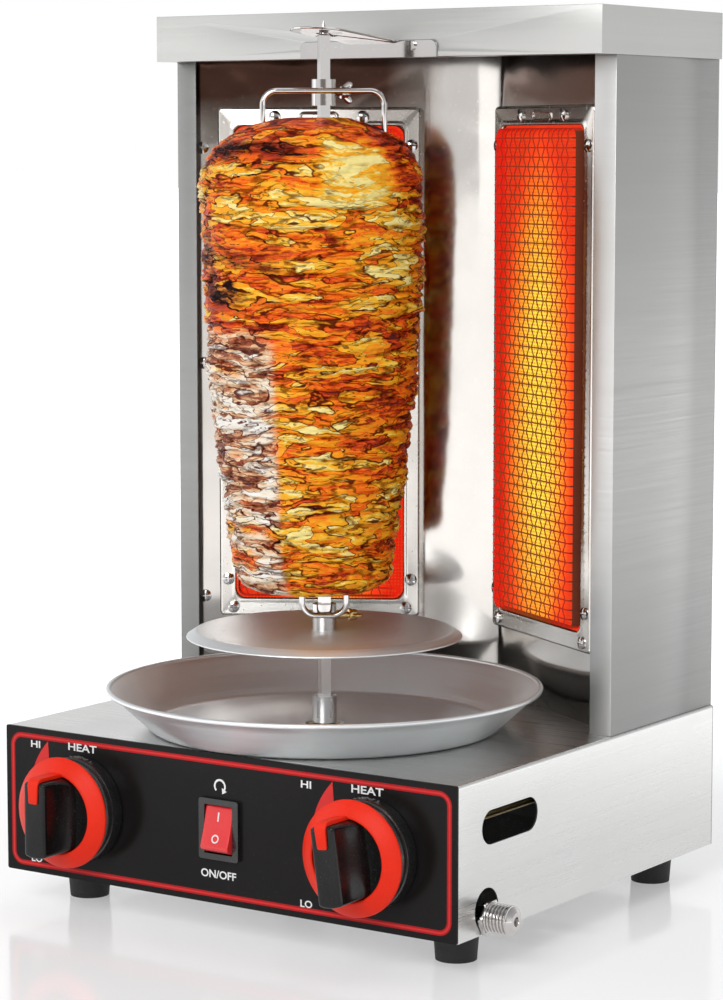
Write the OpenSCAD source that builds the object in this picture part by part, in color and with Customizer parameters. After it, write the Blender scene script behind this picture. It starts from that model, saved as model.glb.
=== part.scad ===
// Vertical spit grill for the worktop: a folded steel base with two valves and a
// motor drive, a tower with two infrared burners set in a V, and a turning spit
// over a drip pan. Millimetres, +Z up, front towards -Y.

/* [Base] */
// Width of the base
base_w = 380; // [370:1:440]
// Depth of the base, front panel to back
base_d = 350; // [345:1:400]
// Height of the base above its feet
base_h = 104; // [100:1:130]
// Gauge of the folded steel sheet
sheet_t = 1.2; // [0.8:0.1:1.5]
// Outside radius of the folded top edges
fold_r = 2.5; // [2:0.5:5]
// Width of the turned-in flanges of the base
base_flange = 13; // [8:1:16]
// Thickness of the printed front panel
panel_t = 1.5; // [1:0.5:3]

/* [Side openings] */
// Length of the air slot in each side of the base
slot_l = 70; // [40:1:80]
// Height of the air slot
slot_h = 23; // [12:1:26]
// Distance of the slot's middle from the front
slot_y = 65; // [60:1:80]
// Height of the slot's middle above the feet
slot_z = 70; // [60:1:74]
// Diameter of the hole round the gas inlet
inlet_hole_d = 29; // [28:0.5:31]
// Height of that hole's middle above the feet
inlet_hole_z = 16; // [16:0.5:18]

/* [Feet] */
// Height of a foot
foot_h = 25; // [14:1:30]
// Diameter of a foot at the top
foot_top_d = 32; // [28:1:40]
// Diameter of a foot on the ground
foot_bottom_d = 28; // [24:1:34]
// Distance of a foot's middle from the side of the base
foot_inset_x = 33; // [21:1:40]
// Distance of a front foot's middle from the front of the base
foot_inset_front = 51; // [48:1:60]
// Distance of a rear foot's middle from the back of the base
foot_inset_rear = 33; // [21:1:40]

/* [Tower] */
// Width of the tower
tower_w = 376; // [366:1:376]
// Depth of the tower
tower_d = 149; // [147:1:160]
// Height of the tower from the deck to the cap's lower edge
tower_h = 470; // [450:1:560]
// Width of the tower's front flanges
front_flange = 17; // [12:1:20]
// Height of the cap
cap_h = 33; // [30:1:50]
// How far the cap stands out over the front
cap_overhang = 23; // [20:1:30]

/* [Reflector lining] */
// Width of the flat strip at the back of the chamber
strip_w = 61; // [50:1:70]
// Gap between that strip and the back of the tower
strip_gap = 43.5; // [40:0.5:46]
// Angle of each side of the lining to the front
lining_angle = 31.5; // [28:0.5:32]
// Width of the tab along each side wall
lining_tab = 14; // [8:1:20]

/* [Burners] */
// Width of a burner's frame
burner_w = 152; // [148:1:154]
// Height of a burner's frame
burner_h = 384; // [340:1:390]
// Height of the frame's lower edge above the deck
burner_lift = 53; // [48:1:60]
// Distance of the frame from the lining's inner fold
burner_inset = 7.5; // [5:0.5:9]
// Width of the frame's border at the sides
border_side = 12.5; // [12:0.5:14]
// Width of the frame's border at top and bottom
border_end = 14; // [14:0.5:20]
// How far the frame stands out from the lining
frame_rise = 9; // [6:0.5:9]
// Corner radius of the frame
frame_corner = 4; // [3:1:12]
// Thickness of the ceramic tiles
tile_t = 13; // [10:1:15]
// Number of tiles in a burner
tile_count = 4; // [3:1:5]
// Depth of the gas chamber behind the tiles
plenum_d = 20; // [14:1:22]
// How far the wire guard stands out from the frame
guard_rise = 9; // [6:0.5:12]
// Thickness of the guard's wires
guard_wire = 1.6; // [1.2:0.1:2.2]
// Openings across the guard
guard_cols = 8; // [6:1:8]
// Openings up the guard
guard_rows = 26; // [16:1:26]
// Diameter of a burner's mixing tube
mixer_d = 20; // [16:1:20]
// Diameter of the gas pipes to the burners
pipe_d = 8; // [6:0.5:10]
// Diameter of a screw's head
screw_head_d = 9; // [8:0.5:9.5]
// Diameter of a screw
screw_d = 4; // [3:0.5:4]

/* [Gas inlet] */
// Outside diameter of the inlet thread (half-inch pipe)
inlet_thread_d = 20.955; // [19:0.005:21.2]
// Length of the inlet thread
inlet_thread_l = 16; // [10:1:20]
// Length of the inlet's cone
inlet_cone_l = 3; // [3:0.5:6]
// Thickness of the inlet's hexagon
inlet_hex_t = 3.5; // [2:0.5:5]
// Width of that hexagon across its flats
inlet_hex_w = 22; // [21:0.5:24]
// Bore of the inlet
inlet_bore_d = 6; // [4:0.5:9]
// Distance of the inlet from the front
inlet_y = 36; // [34:0.5:38]
// Height of the inlet above the feet
inlet_z = 11; // [11:0.5:14]
// Diameter of the pipe that feeds both valves
manifold_d = 10; // [8:0.5:12]

/* [Valves and knobs] */
// Distance of each knob from the middle of the panel
knob_x = 122; // [112:1:126]
// Diameter of a knob
knob_d = 78; // [70:1:84]
// Thickness of the plate behind a knob
rosette_h = 16; // [6:0.5:18]
// Diameter of that rosette
rosette_d = 75; // [66:1:80]
// Travel of a knob when it is pushed in
knob_push = 3; // [2:0.5:4]
// Depth of a knob's ring
ring_h = 8; // [7:0.5:16]
// Width of the ring's slope
ring_w = 11.5; // [8:0.5:13]
// Height of the grip above the ring
grip_h = 23.5; // [16:0.5:28]
// Width of the grip at its front
grip_w = 17; // [12:0.5:22]
// Turn of the left knob as it is set, anticlockwise from upright
knob_left_turn = 0; // [0:1:90]
// Turn of the right knob as it is set, anticlockwise from upright
knob_right_turn = 8; // [0:1:90]
// Diameter of a valve spindle
spindle_d = 8; // [6:0.5:9]
// Diameter of a valve's body
valve_d = 26; // [24:1:30]
// Length of a valve's body
valve_l = 52; // [48:1:60]

/* [Switch] */
// Width of the switch's bezel
switch_w = 33; // [32:1:36]
// Height of the switch's bezel
switch_h = 42; // [41:1:46]
// Width of the rocker
rocker_w = 23; // [18:0.5:23]
// Radius of the rocker about its pivot
rocker_r = 16.5; // [15:0.5:17]
// Tilt of the rocker either way from level
rocker_tilt = 15; // [6:0.5:15]

/* [Drive] */
// Distance of the spit from the front of the base
spit_y = 123; // [122:1:126]
// Module of the gears
gear_module = 1; // [0.9:0.05:1.1]
// Teeth of the output gear
gear_teeth = 64; // [56:4:64]
// Teeth of the motor pinion
pinion_teeth = 16; // [16:4:20]
// Face width of the gears
gear_w = 8; // [6:0.5:9]
// Diameter of the output shaft
shaft_d = 10; // [8:0.5:11]
// Diameter of the drive socket
socket_d = 17; // [15:0.5:18]
// Height of the drive socket
socket_h = 19; // [15:0.5:22]
// Diameter of the motor
motor_d = 50; // [40:1:56]
// Length of the motor
motor_l = 42; // [30:1:46]

/* [Spit] */
// Width of the square spit
spit_w = 7; // [6:0.5:8]
// Height of the spit's tip above the deck
spit_top = 494; // [480:1:500]
// Turn of the spit as it stands, seen from above
spit_turn = 34; // [0:1:90]
// Turn of the spit's flats from the plane of its forks
flat_turn = 20; // [15:1:30]
// Diameter of the sliding collars
collar_d = 17; // [15:0.5:18]
// Length of the sliding collars
collar_h = 18; // [14:1:20]
// Thickness of the fork wire
fork_wire = 4; // [3:0.5:5]
// Half the span of the upper fork
upper_span = 42; // [34:1:46]
// Half the span of the lower fork
lower_span = 15.6; // [14:0.2:24]
// Length of the upper fork's prongs
upper_prong = 62; // [40:1:70]
// Length of the lower fork's prongs
lower_prong = 66; // [40:1:70]
// Height of the upper collar's lower end above the deck
upper_collar_z = 436; // [434:1:440]
// Diameter of the drip plate
plate_d = 195; // [170:1:210]
// Height of the drip plate's top above the deck
plate_z = 69.5; // [68:0.5:74]
// Length of the thumb screws' wings
wing_l = 8.5; // [7:0.5:8.5]
// How far the upper thumb screw stands out of its collar
upper_screw_out = 3.5; // [1:0.5:8]
// How far the lower thumb screw stands out of its collar
lower_screw_out = 9; // [1:0.5:10]

/* [Meat] */
// Height of the meat's underside above the deck
meat_bottom = 97; // [96:1:104]
// Height of the meat's crown above the deck
meat_top = 425; // [380:1:426]
// Radius of the meat near its top
meat_top_r = 77; // [60:1:80]
// Radius of the meat near its bottom
meat_bottom_r = 52; // [40:1:60]
// Offset of the meat from the spit
meat_offset = 8; // [0:1:10]
// Number of slices in the stack
meat_slices = 26; // [16:1:34]

/* [Drip pan] */
// Diameter of the pan across its rim
pan_d = 309; // [290:1:312]
// Diameter of the pan's floor
pan_floor_d = 244; // [220:1:260]
// Height of the pan
pan_h = 30; // [22:1:36]
// Thickness of the pan's sheet
pan_t = 1; // [0.8:0.1:1.5]
// Diameter of the hole round the drive socket
pan_hole_d = 27; // [26:0.5:30]
// Height of the collar round that hole
pan_collar_h = 2; // [1.5:0.5:5]

/* [Spit retainer] */
// Width of the retainer's bracket
bracket_w = 116; // [100:1:130]
// Height of the bracket's upright leg
bracket_h = 12; // [9:0.5:13]
// Thickness of the bracket
bracket_t = 1.5; // [1:0.5:2.5]
// Width of the tongue that holds the spit's tip
tongue_w = 42; // [30:1:50]
// How far the tongue runs on past the spit
tongue_reach = 28; // [24:1:32]
// Slope of the tongue upwards
tongue_rise = 5; // [3:0.5:6]
// Sideways offset of the tongue from the spit
tongue_x = 3; // [0:1:6]
// Distance of each of the bracket's screws from its middle
bracket_screw_x = 37.5; // [32:0.5:44]

/* [Hidden] */
$fn = 96;

// Finishes as seen
brushed = [0.80, 0.80, 0.81];
polished = [0.70, 0.70, 0.71];
black = [0.10, 0.09, 0.09];
signal_red = [0.93, 0.22, 0.10];
brass = [0.80, 0.64, 0.32];
ceramic = [0.95, 0.35, 0.10];
meat_brown = [0.80, 0.42, 0.12];

// Clearances
bolt_play = 0.2;         // round a screw in its hole
shaft_play = 0.05;       // round a shaft that turns, on the radius
seat_gap = 0.3;          // between loose pieces that lie side by side
sink = 0.5;              // how far welded pieces run into each other

// Heights and faces of the cabinet
deck_z = foot_h + base_h;
roof_z = deck_z + tower_h;
top_z = roof_z + cap_h;
tower_y = base_d - tower_d;
cap_front = tower_y - cap_overhang;
wall_in = tower_w / 2 - sheet_t;
wall_back = base_d - sheet_t;
wall_h = tower_h + cap_h - sheet_t;
rear_flange = 14;
foot_floor = 4;
cap_w = tower_w + 2 * sheet_t + 2 * seat_gap;

// Knobs, valves and gas line
knob_z = foot_h + base_h / 2;
knob_r = knob_d / 2;
knob_back = rosette_h + knob_push + 0.5;
ring_front = knob_back + ring_h;
knob_reach = ring_front + grip_h;
ring_in = knob_r - ring_w;
valve_y = 6;
valve_end = valve_y + valve_l;
poppet_y = 22;
poppet_l = 8;
line_z = foot_h + inlet_z;
inlet_hex_x = base_w / 2 + 0.5;
inlet_start = inlet_hex_x + inlet_hex_t;
inlet_end = inlet_start + inlet_thread_l + inlet_cone_l;
manifold_end = base_w / 2 - 16;

// Middle of the bounding box, where the origin lies
gland_l = 12;
gland_thread_d = 15;
gland_cord_d = 8;
mid_x = (inlet_end - base_w / 2) / 2;
mid_y = (base_d + gland_l - knob_reach) / 2;

// Burners, measured along the lining from its fold
strip_y = base_d - strip_gap;
lining_end_y = strip_y - (wall_in - strip_w / 2) * tan(lining_angle);
burner_s = burner_inset + burner_w / 2;
burner_z = burner_lift + burner_h / 2;
open_w = burner_w - 2 * border_side;
open_h = burner_h - 2 * border_end;
tile_lap = 1.5;
tile_w = open_w + 2 * tile_lap;
tile_h = open_h + 2 * tile_lap;
housing_t = 1;
housing_w = tile_w + 2 * housing_t;
housing_h = tile_h + 2 * housing_t;
cover_t = 1.5;
open_corner = 8;
guard_gap = 2.5;
tile_front = cover_t - frame_rise;
housing_back = tile_front + tile_t + plenum_d + housing_t;
mixer_y = tile_front + tile_t + plenum_d / 2;
mixer_s = (knob_x - strip_w / 2 - mixer_y * sin(lining_angle)) / cos(lining_angle);
mixer_world_y = strip_y - mixer_s * sin(lining_angle) + mixer_y * cos(lining_angle);
mixer_foot = 26;
side_screw_s = burner_w / 2 - 6.5;
side_screw_z = open_h / 2 - 14.5;
top_screw_s = burner_w * 0.217;
foot_screw_s = burner_w / 2 - 10.5;
end_screw_z = burner_h / 2 - 7;
wall_screw_s = (wall_in - strip_w / 2) / cos(lining_angle) - 12;

// Drive
socket_z = deck_z + 3;
socket_top = socket_z + socket_h;
gear_r = gear_module * gear_teeth / 2;
pinion_r = gear_module * pinion_teeth / 2;
motor_y = gear_r + pinion_r;
box_wall = 3;
box_gap = 2;
box_top = deck_z - sheet_t - 10;
box_h = gear_w + 2 * box_gap + 2 * box_wall;
box_z = box_top - box_h;
gear_z = box_z + box_wall + box_gap;
box_r = gear_r + gear_module + 1.5 + box_wall;
box_ear_d = 10;
box_ear_x = box_r + box_ear_d / 2;
pinion_shaft_d = 6;
motor_wall = 4;
motor_end = 3;
rotor_gap = 2;

// Spit and what it carries
flat_fit = 0.2;
plate_t = 1.2;
collar_r = collar_d / 2;
lower_collar_z = plate_z;
fork_off = collar_r + fork_wire / 2 - sink;
thumb_d = 5;
thumb_hub_d = 9;

// Retainer
tongue_l = cap_front - spit_y + tongue_reach;
tongue_hole_d = spit_w * sqrt(2) + 0.8;

// ---------------------------------------------------------------- placing

// Moves a piece from the base's corner lines to the part's own origin
module placed() { translate([-mid_x, -mid_y, 0]) children(); }

// On the right side as drawn, or mirrored to the left
module on_side(left) { if (left) mirror([1, 0, 0]) children(); else children(); }

// On the lining: x runs along it from the fold, y points behind it, z from the deck
module on_lining(left) {
    on_side(left) translate([strip_w / 2, strip_y, deck_z])
        rotate([0, 0, -lining_angle]) children();
}

// On the middle of a burner
module on_burner(left) { on_lining(left) translate([burner_s, 0, burner_z]) children(); }

// On the spit's axis, turned with the spit
module on_spit(z = 0) {
    translate([0, spit_y, deck_z + z]) rotate([0, 0, spit_turn]) children();
}

// An outline drawn in x and z, given a length along y from y0
module along_y(y0, len) {
    translate([0, y0 + len, 0]) rotate([90, 0, 0]) linear_extrude(len) children();
}

// A cylinder along y, starting at y0
module rod_y(d, y0, len) { translate([0, y0, 0]) rotate([-90, 0, 0]) cylinder(d = d, h = len); }

// A cylinder along x, starting at x0
module rod_x(d, x0, len) { translate([x0, 0, 0]) rotate([0, 90, 0]) cylinder(d = d, h = len); }

// ---------------------------------------------------------------- shapes

// Rectangle with its two upper corners rounded, standing on y = 0
module arched(w, h, r) {
    translate([-w / 2, 0]) square([w, h - r]);
    translate([r - w / 2, 0]) square([w - 2 * r, h]);
    for (x = [r - w / 2, w / 2 - r]) translate([x, h - r]) circle(r);
}

// Rectangle with four rounded corners, centred
module rounded(w, h, r) {
    square([w - 2 * r, h], center = true);
    square([w, h - 2 * r], center = true);
    for (x = [-1, 1], y = [-1, 1]) translate([x * (w / 2 - r), y * (h / 2 - r)]) circle(r);
}

// Slot with round ends, centred
module obround(l, h) {
    square([l - h, h], center = true);
    for (x = [-1, 1]) translate([x * (l - h) / 2, 0]) circle(d = h);
}

// Outline round two circles of radius r, at 0 and at dy
module two_lobes(r, dy) {
    circle(r);
    translate([0, dy]) circle(r);
    translate([-r, 0]) square([2 * r, dy]);
}

// Straight-sided gear teeth about the origin
function gear_outline(teeth, m) =
    let (rp = m * teeth / 2, step = 360 / teeth)
    [for (i = [0 : teeth - 1], p = [[-0.27, -1.1], [-0.12, 0.8], [0.12, 0.8], [0.27, -1.1]])
        let (a = step * (i + p[0]), r = rp + m * p[1]) [r * cos(a), r * sin(a)]];

// Flat plate with a pattern of square openings
module mesh_plate(w, h, cols, rows) {
    pitch_x = (w - guard_wire) / cols;
    pitch_y = (h - guard_wire) / rows;
    linear_extrude(guard_wire) difference() {
        translate([-w / 2, -h / 2]) square([w, h]);
        for (i = [0 : cols - 1], j = [0 : rows - 1])
            translate([i * pitch_x + guard_wire - w / 2, j * pitch_y + guard_wire - h / 2])
                square([pitch_x - guard_wire, pitch_y - guard_wire]);
    }
}

// Pan-head screw, head at z = 0 pointing up, shank below
module pan_screw(len) {
    head_h = 2.6;
    difference() {
        intersection() {
            cylinder(d = screw_head_d, h = head_h);
            translate([0, 0, head_h - screw_head_d]) sphere(screw_head_d);
        }
        for (a = [0, 90]) rotate([0, 0, a])
            translate([-screw_head_d * 0.3, -0.5, head_h - 1.2]) cube([screw_head_d * 0.6, 1, 2]);
    }
    translate([0, 0, -len]) cylinder(d = screw_d, h = len);
}

// Where the eight screws of a burner's frame stand, from its middle
function frame_screw_spots() = concat(
    [for (s = [-1, 1]) [s * top_screw_s, end_screw_z]],
    [for (s = [-1, 1]) [s * foot_screw_s, -end_screw_z]],
    [for (s = [-1, 1], z = [-1, 1]) [s * side_screw_s, z * side_screw_z]]
);

// Heights above the deck of the screws at the side walls
function wall_screw_heights() =
    [burner_z - burner_h / 2 + 14, burner_z, burner_z + burner_h / 2 - 30];

// ---------------------------------------------------------------- base

module base_shell() {
    inner_r = fold_r - sheet_t + 0.2;
    color(brushed) placed() difference() {
        translate([0, 0, foot_h]) along_y(panel_t, wall_back - panel_t)
            arched(base_w, base_h, fold_r);
        // hollow, open at the back
        translate([0, 0, foot_h + 2 * sheet_t]) along_y(panel_t + sheet_t, base_d)
            arched(base_w - 2 * sheet_t, base_h - 3 * sheet_t, inner_r);
        // seat of the floor, between the sides
        translate([sheet_t - base_w / 2, 0, foot_h - sheet_t])
            cube([base_w - 2 * sheet_t, base_d, 2 * sheet_t]);
        // opening between the bottom flanges
        translate([base_flange - base_w / 2, panel_t + base_flange, foot_h])
            cube([base_w - 2 * base_flange, base_d, 3 * sheet_t]);
        // opening of the front
        translate([base_flange - base_w / 2, 0, foot_h + base_flange])
            cube([base_w - 2 * base_flange, panel_t + 2 * sheet_t, base_h - 2 * base_flange]);
        side_openings();
        translate([0, spit_y, 0]) cylinder(d = bush_d() + bolt_play, h = deck_z + 1);
        for (s = [-1, 1]) translate([s * knob_x, mixer_world_y, deck_z - 2 * sheet_t])
            cylinder(d = mixer_d - 2, h = 4 * sheet_t);
        // screws of the gearbox
        for (s = [-1, 1], y = [0, motor_y])
            translate([s * box_ear_x, spit_y + y, deck_z - 2 * sheet_t])
                cylinder(d = screw_d + bolt_play, h = 4 * sheet_t);
    }
}

module side_openings() {
    for (s = [-1, 1]) translate([s * base_w / 2, slot_y, foot_h + slot_z])
        rotate([90, 0, 90]) translate([0, 0, -2 * sheet_t]) linear_extrude(4 * sheet_t)
            obround(slot_l, slot_h);
    translate([0, inlet_y, foot_h + inlet_hole_z])
        rod_x(inlet_hole_d, base_w / 2 - 2 * sheet_t, 4 * sheet_t);
}

module base_floor() {
    plate_w = base_w - 2 * sheet_t - 2 * seat_gap;
    plate_d = wall_back - panel_t - 2 * seat_gap;
    color(polished) placed() difference() {
        translate([-plate_w / 2, panel_t + seat_gap, foot_h]) cube([plate_w, plate_d, sheet_t]);
        for (s = [-1, 1], y = foot_rows())
            translate([s * (base_w / 2 - foot_inset_x), y, foot_h - 1])
                cylinder(d = screw_d + bolt_play, h = 4);
        // air slots under the burners
        for (s = [-1, 1], i = [0 : 4]) translate([s * knob_x, base_d * 0.55 + i * 18, foot_h - 1])
            linear_extrude(4) obround(60, 8);
    }
}

module base_rear() {
    color(brushed) placed() difference() {
        translate([0, 0, foot_h]) along_y(wall_back, sheet_t) arched(base_w, base_h, fold_r);
        translate([gland_x(), 0, gland_z()]) rod_y(gland_thread_d + bolt_play, wall_back - 1, 4);
        for (i = [0 : 5]) translate([base_w * 0.2, wall_back + 3, foot_h + base_h / 2 - 25 + i * 10])
            rotate([90, 0, 0]) linear_extrude(6) obround(70, 4);
    }
}

module control_panel() {
    color(black) placed() difference() {
        translate([0, panel_t, foot_h + base_h / 2]) rotate([90, 0, 0])
            linear_extrude(panel_t) rounded(base_w, base_h, 1.5);
        for (s = [-1, 1]) translate([s * knob_x, 0, knob_z])
            rod_y(neck_d() + bolt_play, -1, panel_t + 2);
        translate([0, panel_t + 1, knob_z]) rotate([90, 0, 0]) linear_extrude(panel_t + 2)
            square([switch_body_w() + 2 * bolt_play, switch_body_h() + 2 * bolt_play], center = true);
    }
}

function foot_rows() = [foot_inset_front, base_d - foot_inset_rear];

module foot(left, rear) {
    x = (left ? -1 : 1) * (base_w / 2 - foot_inset_x);
    y = foot_rows()[rear ? 1 : 0];
    color(black) placed() translate([x, y, 0]) difference() {
        cylinder(d1 = foot_bottom_d, d2 = foot_top_d, h = foot_h);
        translate([0, 0, -1]) cylinder(d = screw_head_d + 2, h = foot_h - foot_floor + 1);
        cylinder(d = screw_d + bolt_play, h = foot_h + 1);
    }
}

function gland_x() = -base_w * 0.3;
function gland_z() = foot_h + base_h * 0.35;

// Threaded body through the back, with its flange, cap and locknut
module cable_gland() {
    step = 4;
    nut_t = 5;
    color(black) placed() translate([gland_x(), 0, gland_z()]) difference() {
        union() {
            rod_y(gland_thread_d, wall_back - nut_t - 3, nut_t + step + sheet_t);
            rod_y(gland_thread_d + 7, base_d, step);
            rod_y(gland_thread_d + 4, base_d + step, step);
            translate([0, base_d + 2 * step, 0]) rotate([-90, 0, 0])
                cylinder(d1 = gland_thread_d + 2, d2 = gland_thread_d - 2, h = gland_l - 2 * step);
            rod_y(gland_thread_d + 5, wall_back - nut_t, nut_t);
        }
        rod_y(gland_cord_d, wall_back - nut_t - 4, gland_l + sheet_t + nut_t + 5);
    }
}

// ---------------------------------------------------------------- switch

function switch_body_w() = rocker_w + 2 * 0.3 + 2 * 2;
function switch_body_h() = 2 * (rocker_r + 0.4) + 2 * 1.2;
function rocker_y() = 2;
switch_lip = 3;
switch_depth = 24;
pivot_d = 3;
pivot_l = 1.4;

module switch_housing() {
    cavity_w = rocker_w + 2 * 0.3;
    cavity_h = 2 * (rocker_r + 0.4);
    color(black) placed() translate([0, 0, knob_z]) difference() {
        union() {
            rotate([90, 0, 0]) linear_extrude(switch_lip) rounded(switch_w, switch_h, 2);
            translate([-switch_body_w() / 2, 0, -switch_body_h() / 2])
                cube([switch_body_w(), switch_depth, switch_body_h()]);
            for (x = [-5, 5]) translate([x - 3, switch_depth - 1, -0.4]) cube([6, 9, 0.8]);
        }
        translate([-cavity_w / 2, -switch_lip - 1, -cavity_h / 2])
            cube([cavity_w, switch_lip + 1 + rocker_y() + rocker_r * 0.6, cavity_h]);
        translate([0, rocker_y(), 0])
            rod_x(pivot_d + 2 * shaft_play, -rocker_w / 2 - pivot_l - 0.2, rocker_w + 2 * pivot_l + 0.4);
    }
}

// The rocker's faces meet in a shallow valley, and its ends follow a circle
module switch_rocker() {
    valley = 6.5;
    dish = rocker_r * tan(3);
    color(signal_red) placed() translate([0, rocker_y(), knob_z]) rotate([-rocker_tilt, 0, 0]) {
        intersection() {
            rod_x(2 * rocker_r, -rocker_w / 2, rocker_w);
            translate([-rocker_w / 2, 0, 0]) rotate([90, 0, 90]) linear_extrude(rocker_w) polygon([
                [rocker_r * 0.35, -5], [0, -rocker_r], [-valley - dish, -rocker_r],
                [-valley, 0],
                [-valley - dish, rocker_r], [0, rocker_r], [rocker_r * 0.35, 5]
            ]);
        }
        rod_x(pivot_d, -rocker_w / 2 - pivot_l, rocker_w + 2 * pivot_l);
    }
}

// ---------------------------------------------------------------- gas line

module manifold_pipe() {
    color(brass) placed() translate([0, inlet_y, line_z]) difference() {
        union() {
            rod_x(manifold_d, -knob_x, knob_x + manifold_end);
            for (s = [-1, 1]) translate([s * knob_x, 0, 0])
                cylinder(d = manifold_d, h = knob_z - valve_port() - line_z);
            translate([-knob_x, 0, 0]) sphere(d = manifold_d);
        }
        rod_x(manifold_d - 3, -knob_x, knob_x + manifold_end + 1);
        for (s = [-1, 1]) translate([s * knob_x, 0, 0])
            cylinder(d = manifold_d - 3, h = knob_z);
    }
}

// Threaded nipple with its hexagon, on a stub that passes through the side's hole
module gas_inlet() {
    stub_d = 14;
    color(polished) placed() translate([0, inlet_y, line_z]) difference() {
        union() {
            rod_x(stub_d, manifold_end, inlet_hex_x - manifold_end + 1);
            translate([inlet_hex_x, 0, 0]) rotate([0, 90, 0]) rotate([0, 0, 90])
                cylinder(d = inlet_hex_w / cos(30), h = inlet_hex_t, $fn = 6);
            rod_x(inlet_thread_d, inlet_start, inlet_thread_l);
            translate([inlet_start + inlet_thread_l, 0, 0]) rotate([0, 90, 0])
                cylinder(d1 = inlet_thread_d - 1, d2 = inlet_thread_d * 0.55, h = inlet_cone_l);
        }
        rod_x(inlet_bore_d, manifold_end - 1, inlet_end - manifold_end + 2);
    }
}

function neck_d() = spindle_d + 5;
function valve_port() = valve_d / 2 + 4;

module valve_body(left) {
    color(brass) placed() on_side(left) translate([knob_x, 0, knob_z]) difference() {
        union() {
            rod_y(neck_d(), -3, valve_y + 3);
            rod_y(valve_d, valve_y, valve_l);
            rod_y(valve_d * 0.6, valve_end - 1, 7);
            translate([0, inlet_y, -valve_port()])
                cylinder(d = manifold_d + 4, h = valve_port() - valve_d / 4);
        }
        rod_y(spindle_d + 2 * shaft_play, -4, valve_y + 10);
        rod_y(poppet_bore(), valve_y + 5, poppet_y + poppet_l + knob_push + 4 - valve_y - 5);
        rod_y(4, valve_y + 5, valve_l + 10);
        translate([0, inlet_y, -valve_port() - 1]) cylinder(d = 5, h = valve_port());
    }
}

function poppet_bore() = spindle_d + 4;

module valve_poppet(left) {
    color(brass) placed() on_side(left) translate([knob_x, 0, knob_z]) difference() {
        rod_y(poppet_bore() - 2 * shaft_play, poppet_y, poppet_l);
        rod_y(5 + 2 * shaft_play, poppet_y - 1, 6);
    }
}

module valve_spindle(left) {
    color(polished) placed() on_side(left) translate([knob_x, 0, knob_z]) {
        rod_y(spindle_d, -knob_back - ring_h, knob_back + ring_h + poppet_y - 0.2);
        rod_y(5, poppet_y - 0.5, 5);
    }
}

module knob_rosette(left) {
    rim_r = rosette_d / 2;
    color(black) placed() on_side(left) translate([knob_x, 0, knob_z]) rotate([90, 0, 0])
        difference() {
            rotate_extrude() polygon([
                [0, 0], [rim_r, 0], [rim_r, rosette_h * 0.8], [rim_r - 1.5, rosette_h * 0.92],
                [rim_r - 4, rosette_h], [0, rosette_h]
            ]);
            translate([0, 0, -1]) cylinder(d = neck_d() + 1, h = rosette_h + 2);
        }
}

// Places a knob's own drawing: z along its axis towards the user, y up when upright
module on_knob(left) {
    turn = left ? knob_left_turn : knob_right_turn;
    translate([left ? -knob_x : knob_x, 0, knob_z]) rotate([90, 0, 0]) rotate([0, 0, turn])
        children();
}

pointer_w = 9;
pointer_t = 1.6;
pointer_l = 16;
grip_r = knob_d / 2 - ring_w - 0.5;

// The pointer runs from the ring over the end of the grip and down its front
module pointer() {
    translate([-pointer_w / 2, grip_r - pointer_t, ring_front - 3])
        cube([pointer_w, pointer_t + 1.5, knob_reach - ring_front + 3]);
    translate([-pointer_w / 2, grip_r - pointer_l, knob_reach - pointer_t])
        cube([pointer_w, pointer_l + 1, pointer_t]);
}

module knob_ring(left) {
    color(signal_red) placed() on_knob(left) {
        rotate_extrude() polygon([
            [ring_in, knob_back], [knob_r - 0.8, knob_back], [knob_r, knob_back + ring_h * 0.12],
            [knob_r - 0.4, knob_back + ring_h * 0.3], [ring_in + 1.5, ring_front],
            [ring_in, ring_front]
        ]);
        pointer();
    }
}

module knob_grip(left) {
    foot_w = grip_w + 6;
    color(black) placed() on_knob(left) difference() {
        union() {
            translate([0, 0, knob_back]) cylinder(r = ring_in, h = ring_h - 3);
            intersection() {
                translate([0, 0, knob_back]) cylinder(r = grip_r, h = knob_reach - knob_back);
                rotate([90, 0, 0]) translate([0, 0, -grip_r]) linear_extrude(2 * grip_r) polygon([
                    [-foot_w / 2, ring_front - 4], [foot_w / 2, ring_front - 4],
                    [grip_w / 2 + 1, knob_reach - 1.5], [grip_w / 2 - 1, knob_reach],
                    [1 - grip_w / 2, knob_reach], [-grip_w / 2 - 1, knob_reach - 1.5]
                ]);
            }
        }
        translate([0, 0, knob_back - 1]) cylinder(d = spindle_d, h = ring_h + 1);
        pointer();
    }
}

// ---------------------------------------------------------------- burners

jet_l = 14;
jet_d = 10;
jet_z = deck_z + mixer_foot - 4;

module burner_pipe(left) {
    bend = 18;
    start = valve_end + 6;
    color(brass) placed() on_side(left) translate([knob_x, 0, 0]) difference() {
        union() {
            translate([0, 0, knob_z]) rod_y(pipe_d, start, mixer_world_y - bend - start);
            translate([0, mixer_world_y - bend, knob_z + bend]) rotate([0, 90, 0])
                rotate_extrude(angle = 90) translate([bend, 0]) circle(d = pipe_d);
            translate([0, mixer_world_y, knob_z + bend])
                cylinder(d = pipe_d, h = jet_z - knob_z - bend);
        }
        translate([0, 0, knob_z]) rod_y(pipe_d - 2, start - 1, 12);
        translate([0, mixer_world_y, jet_z - 12]) cylinder(d = pipe_d - 2, h = 13);
    }
}

module gas_jet(left) {
    color(brass) placed() on_side(left) translate([knob_x, mixer_world_y, jet_z]) difference() {
        union() {
            cylinder(d = jet_d / cos(30), h = 5, $fn = 6);
            cylinder(d = jet_d - 2, h = jet_l - 4);
            translate([0, 0, jet_l - 4]) cylinder(d1 = jet_d - 2, d2 = 3, h = 4);
        }
        translate([0, 0, -1]) cylinder(d = 1.6, h = jet_l + 2);
    }
}

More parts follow.
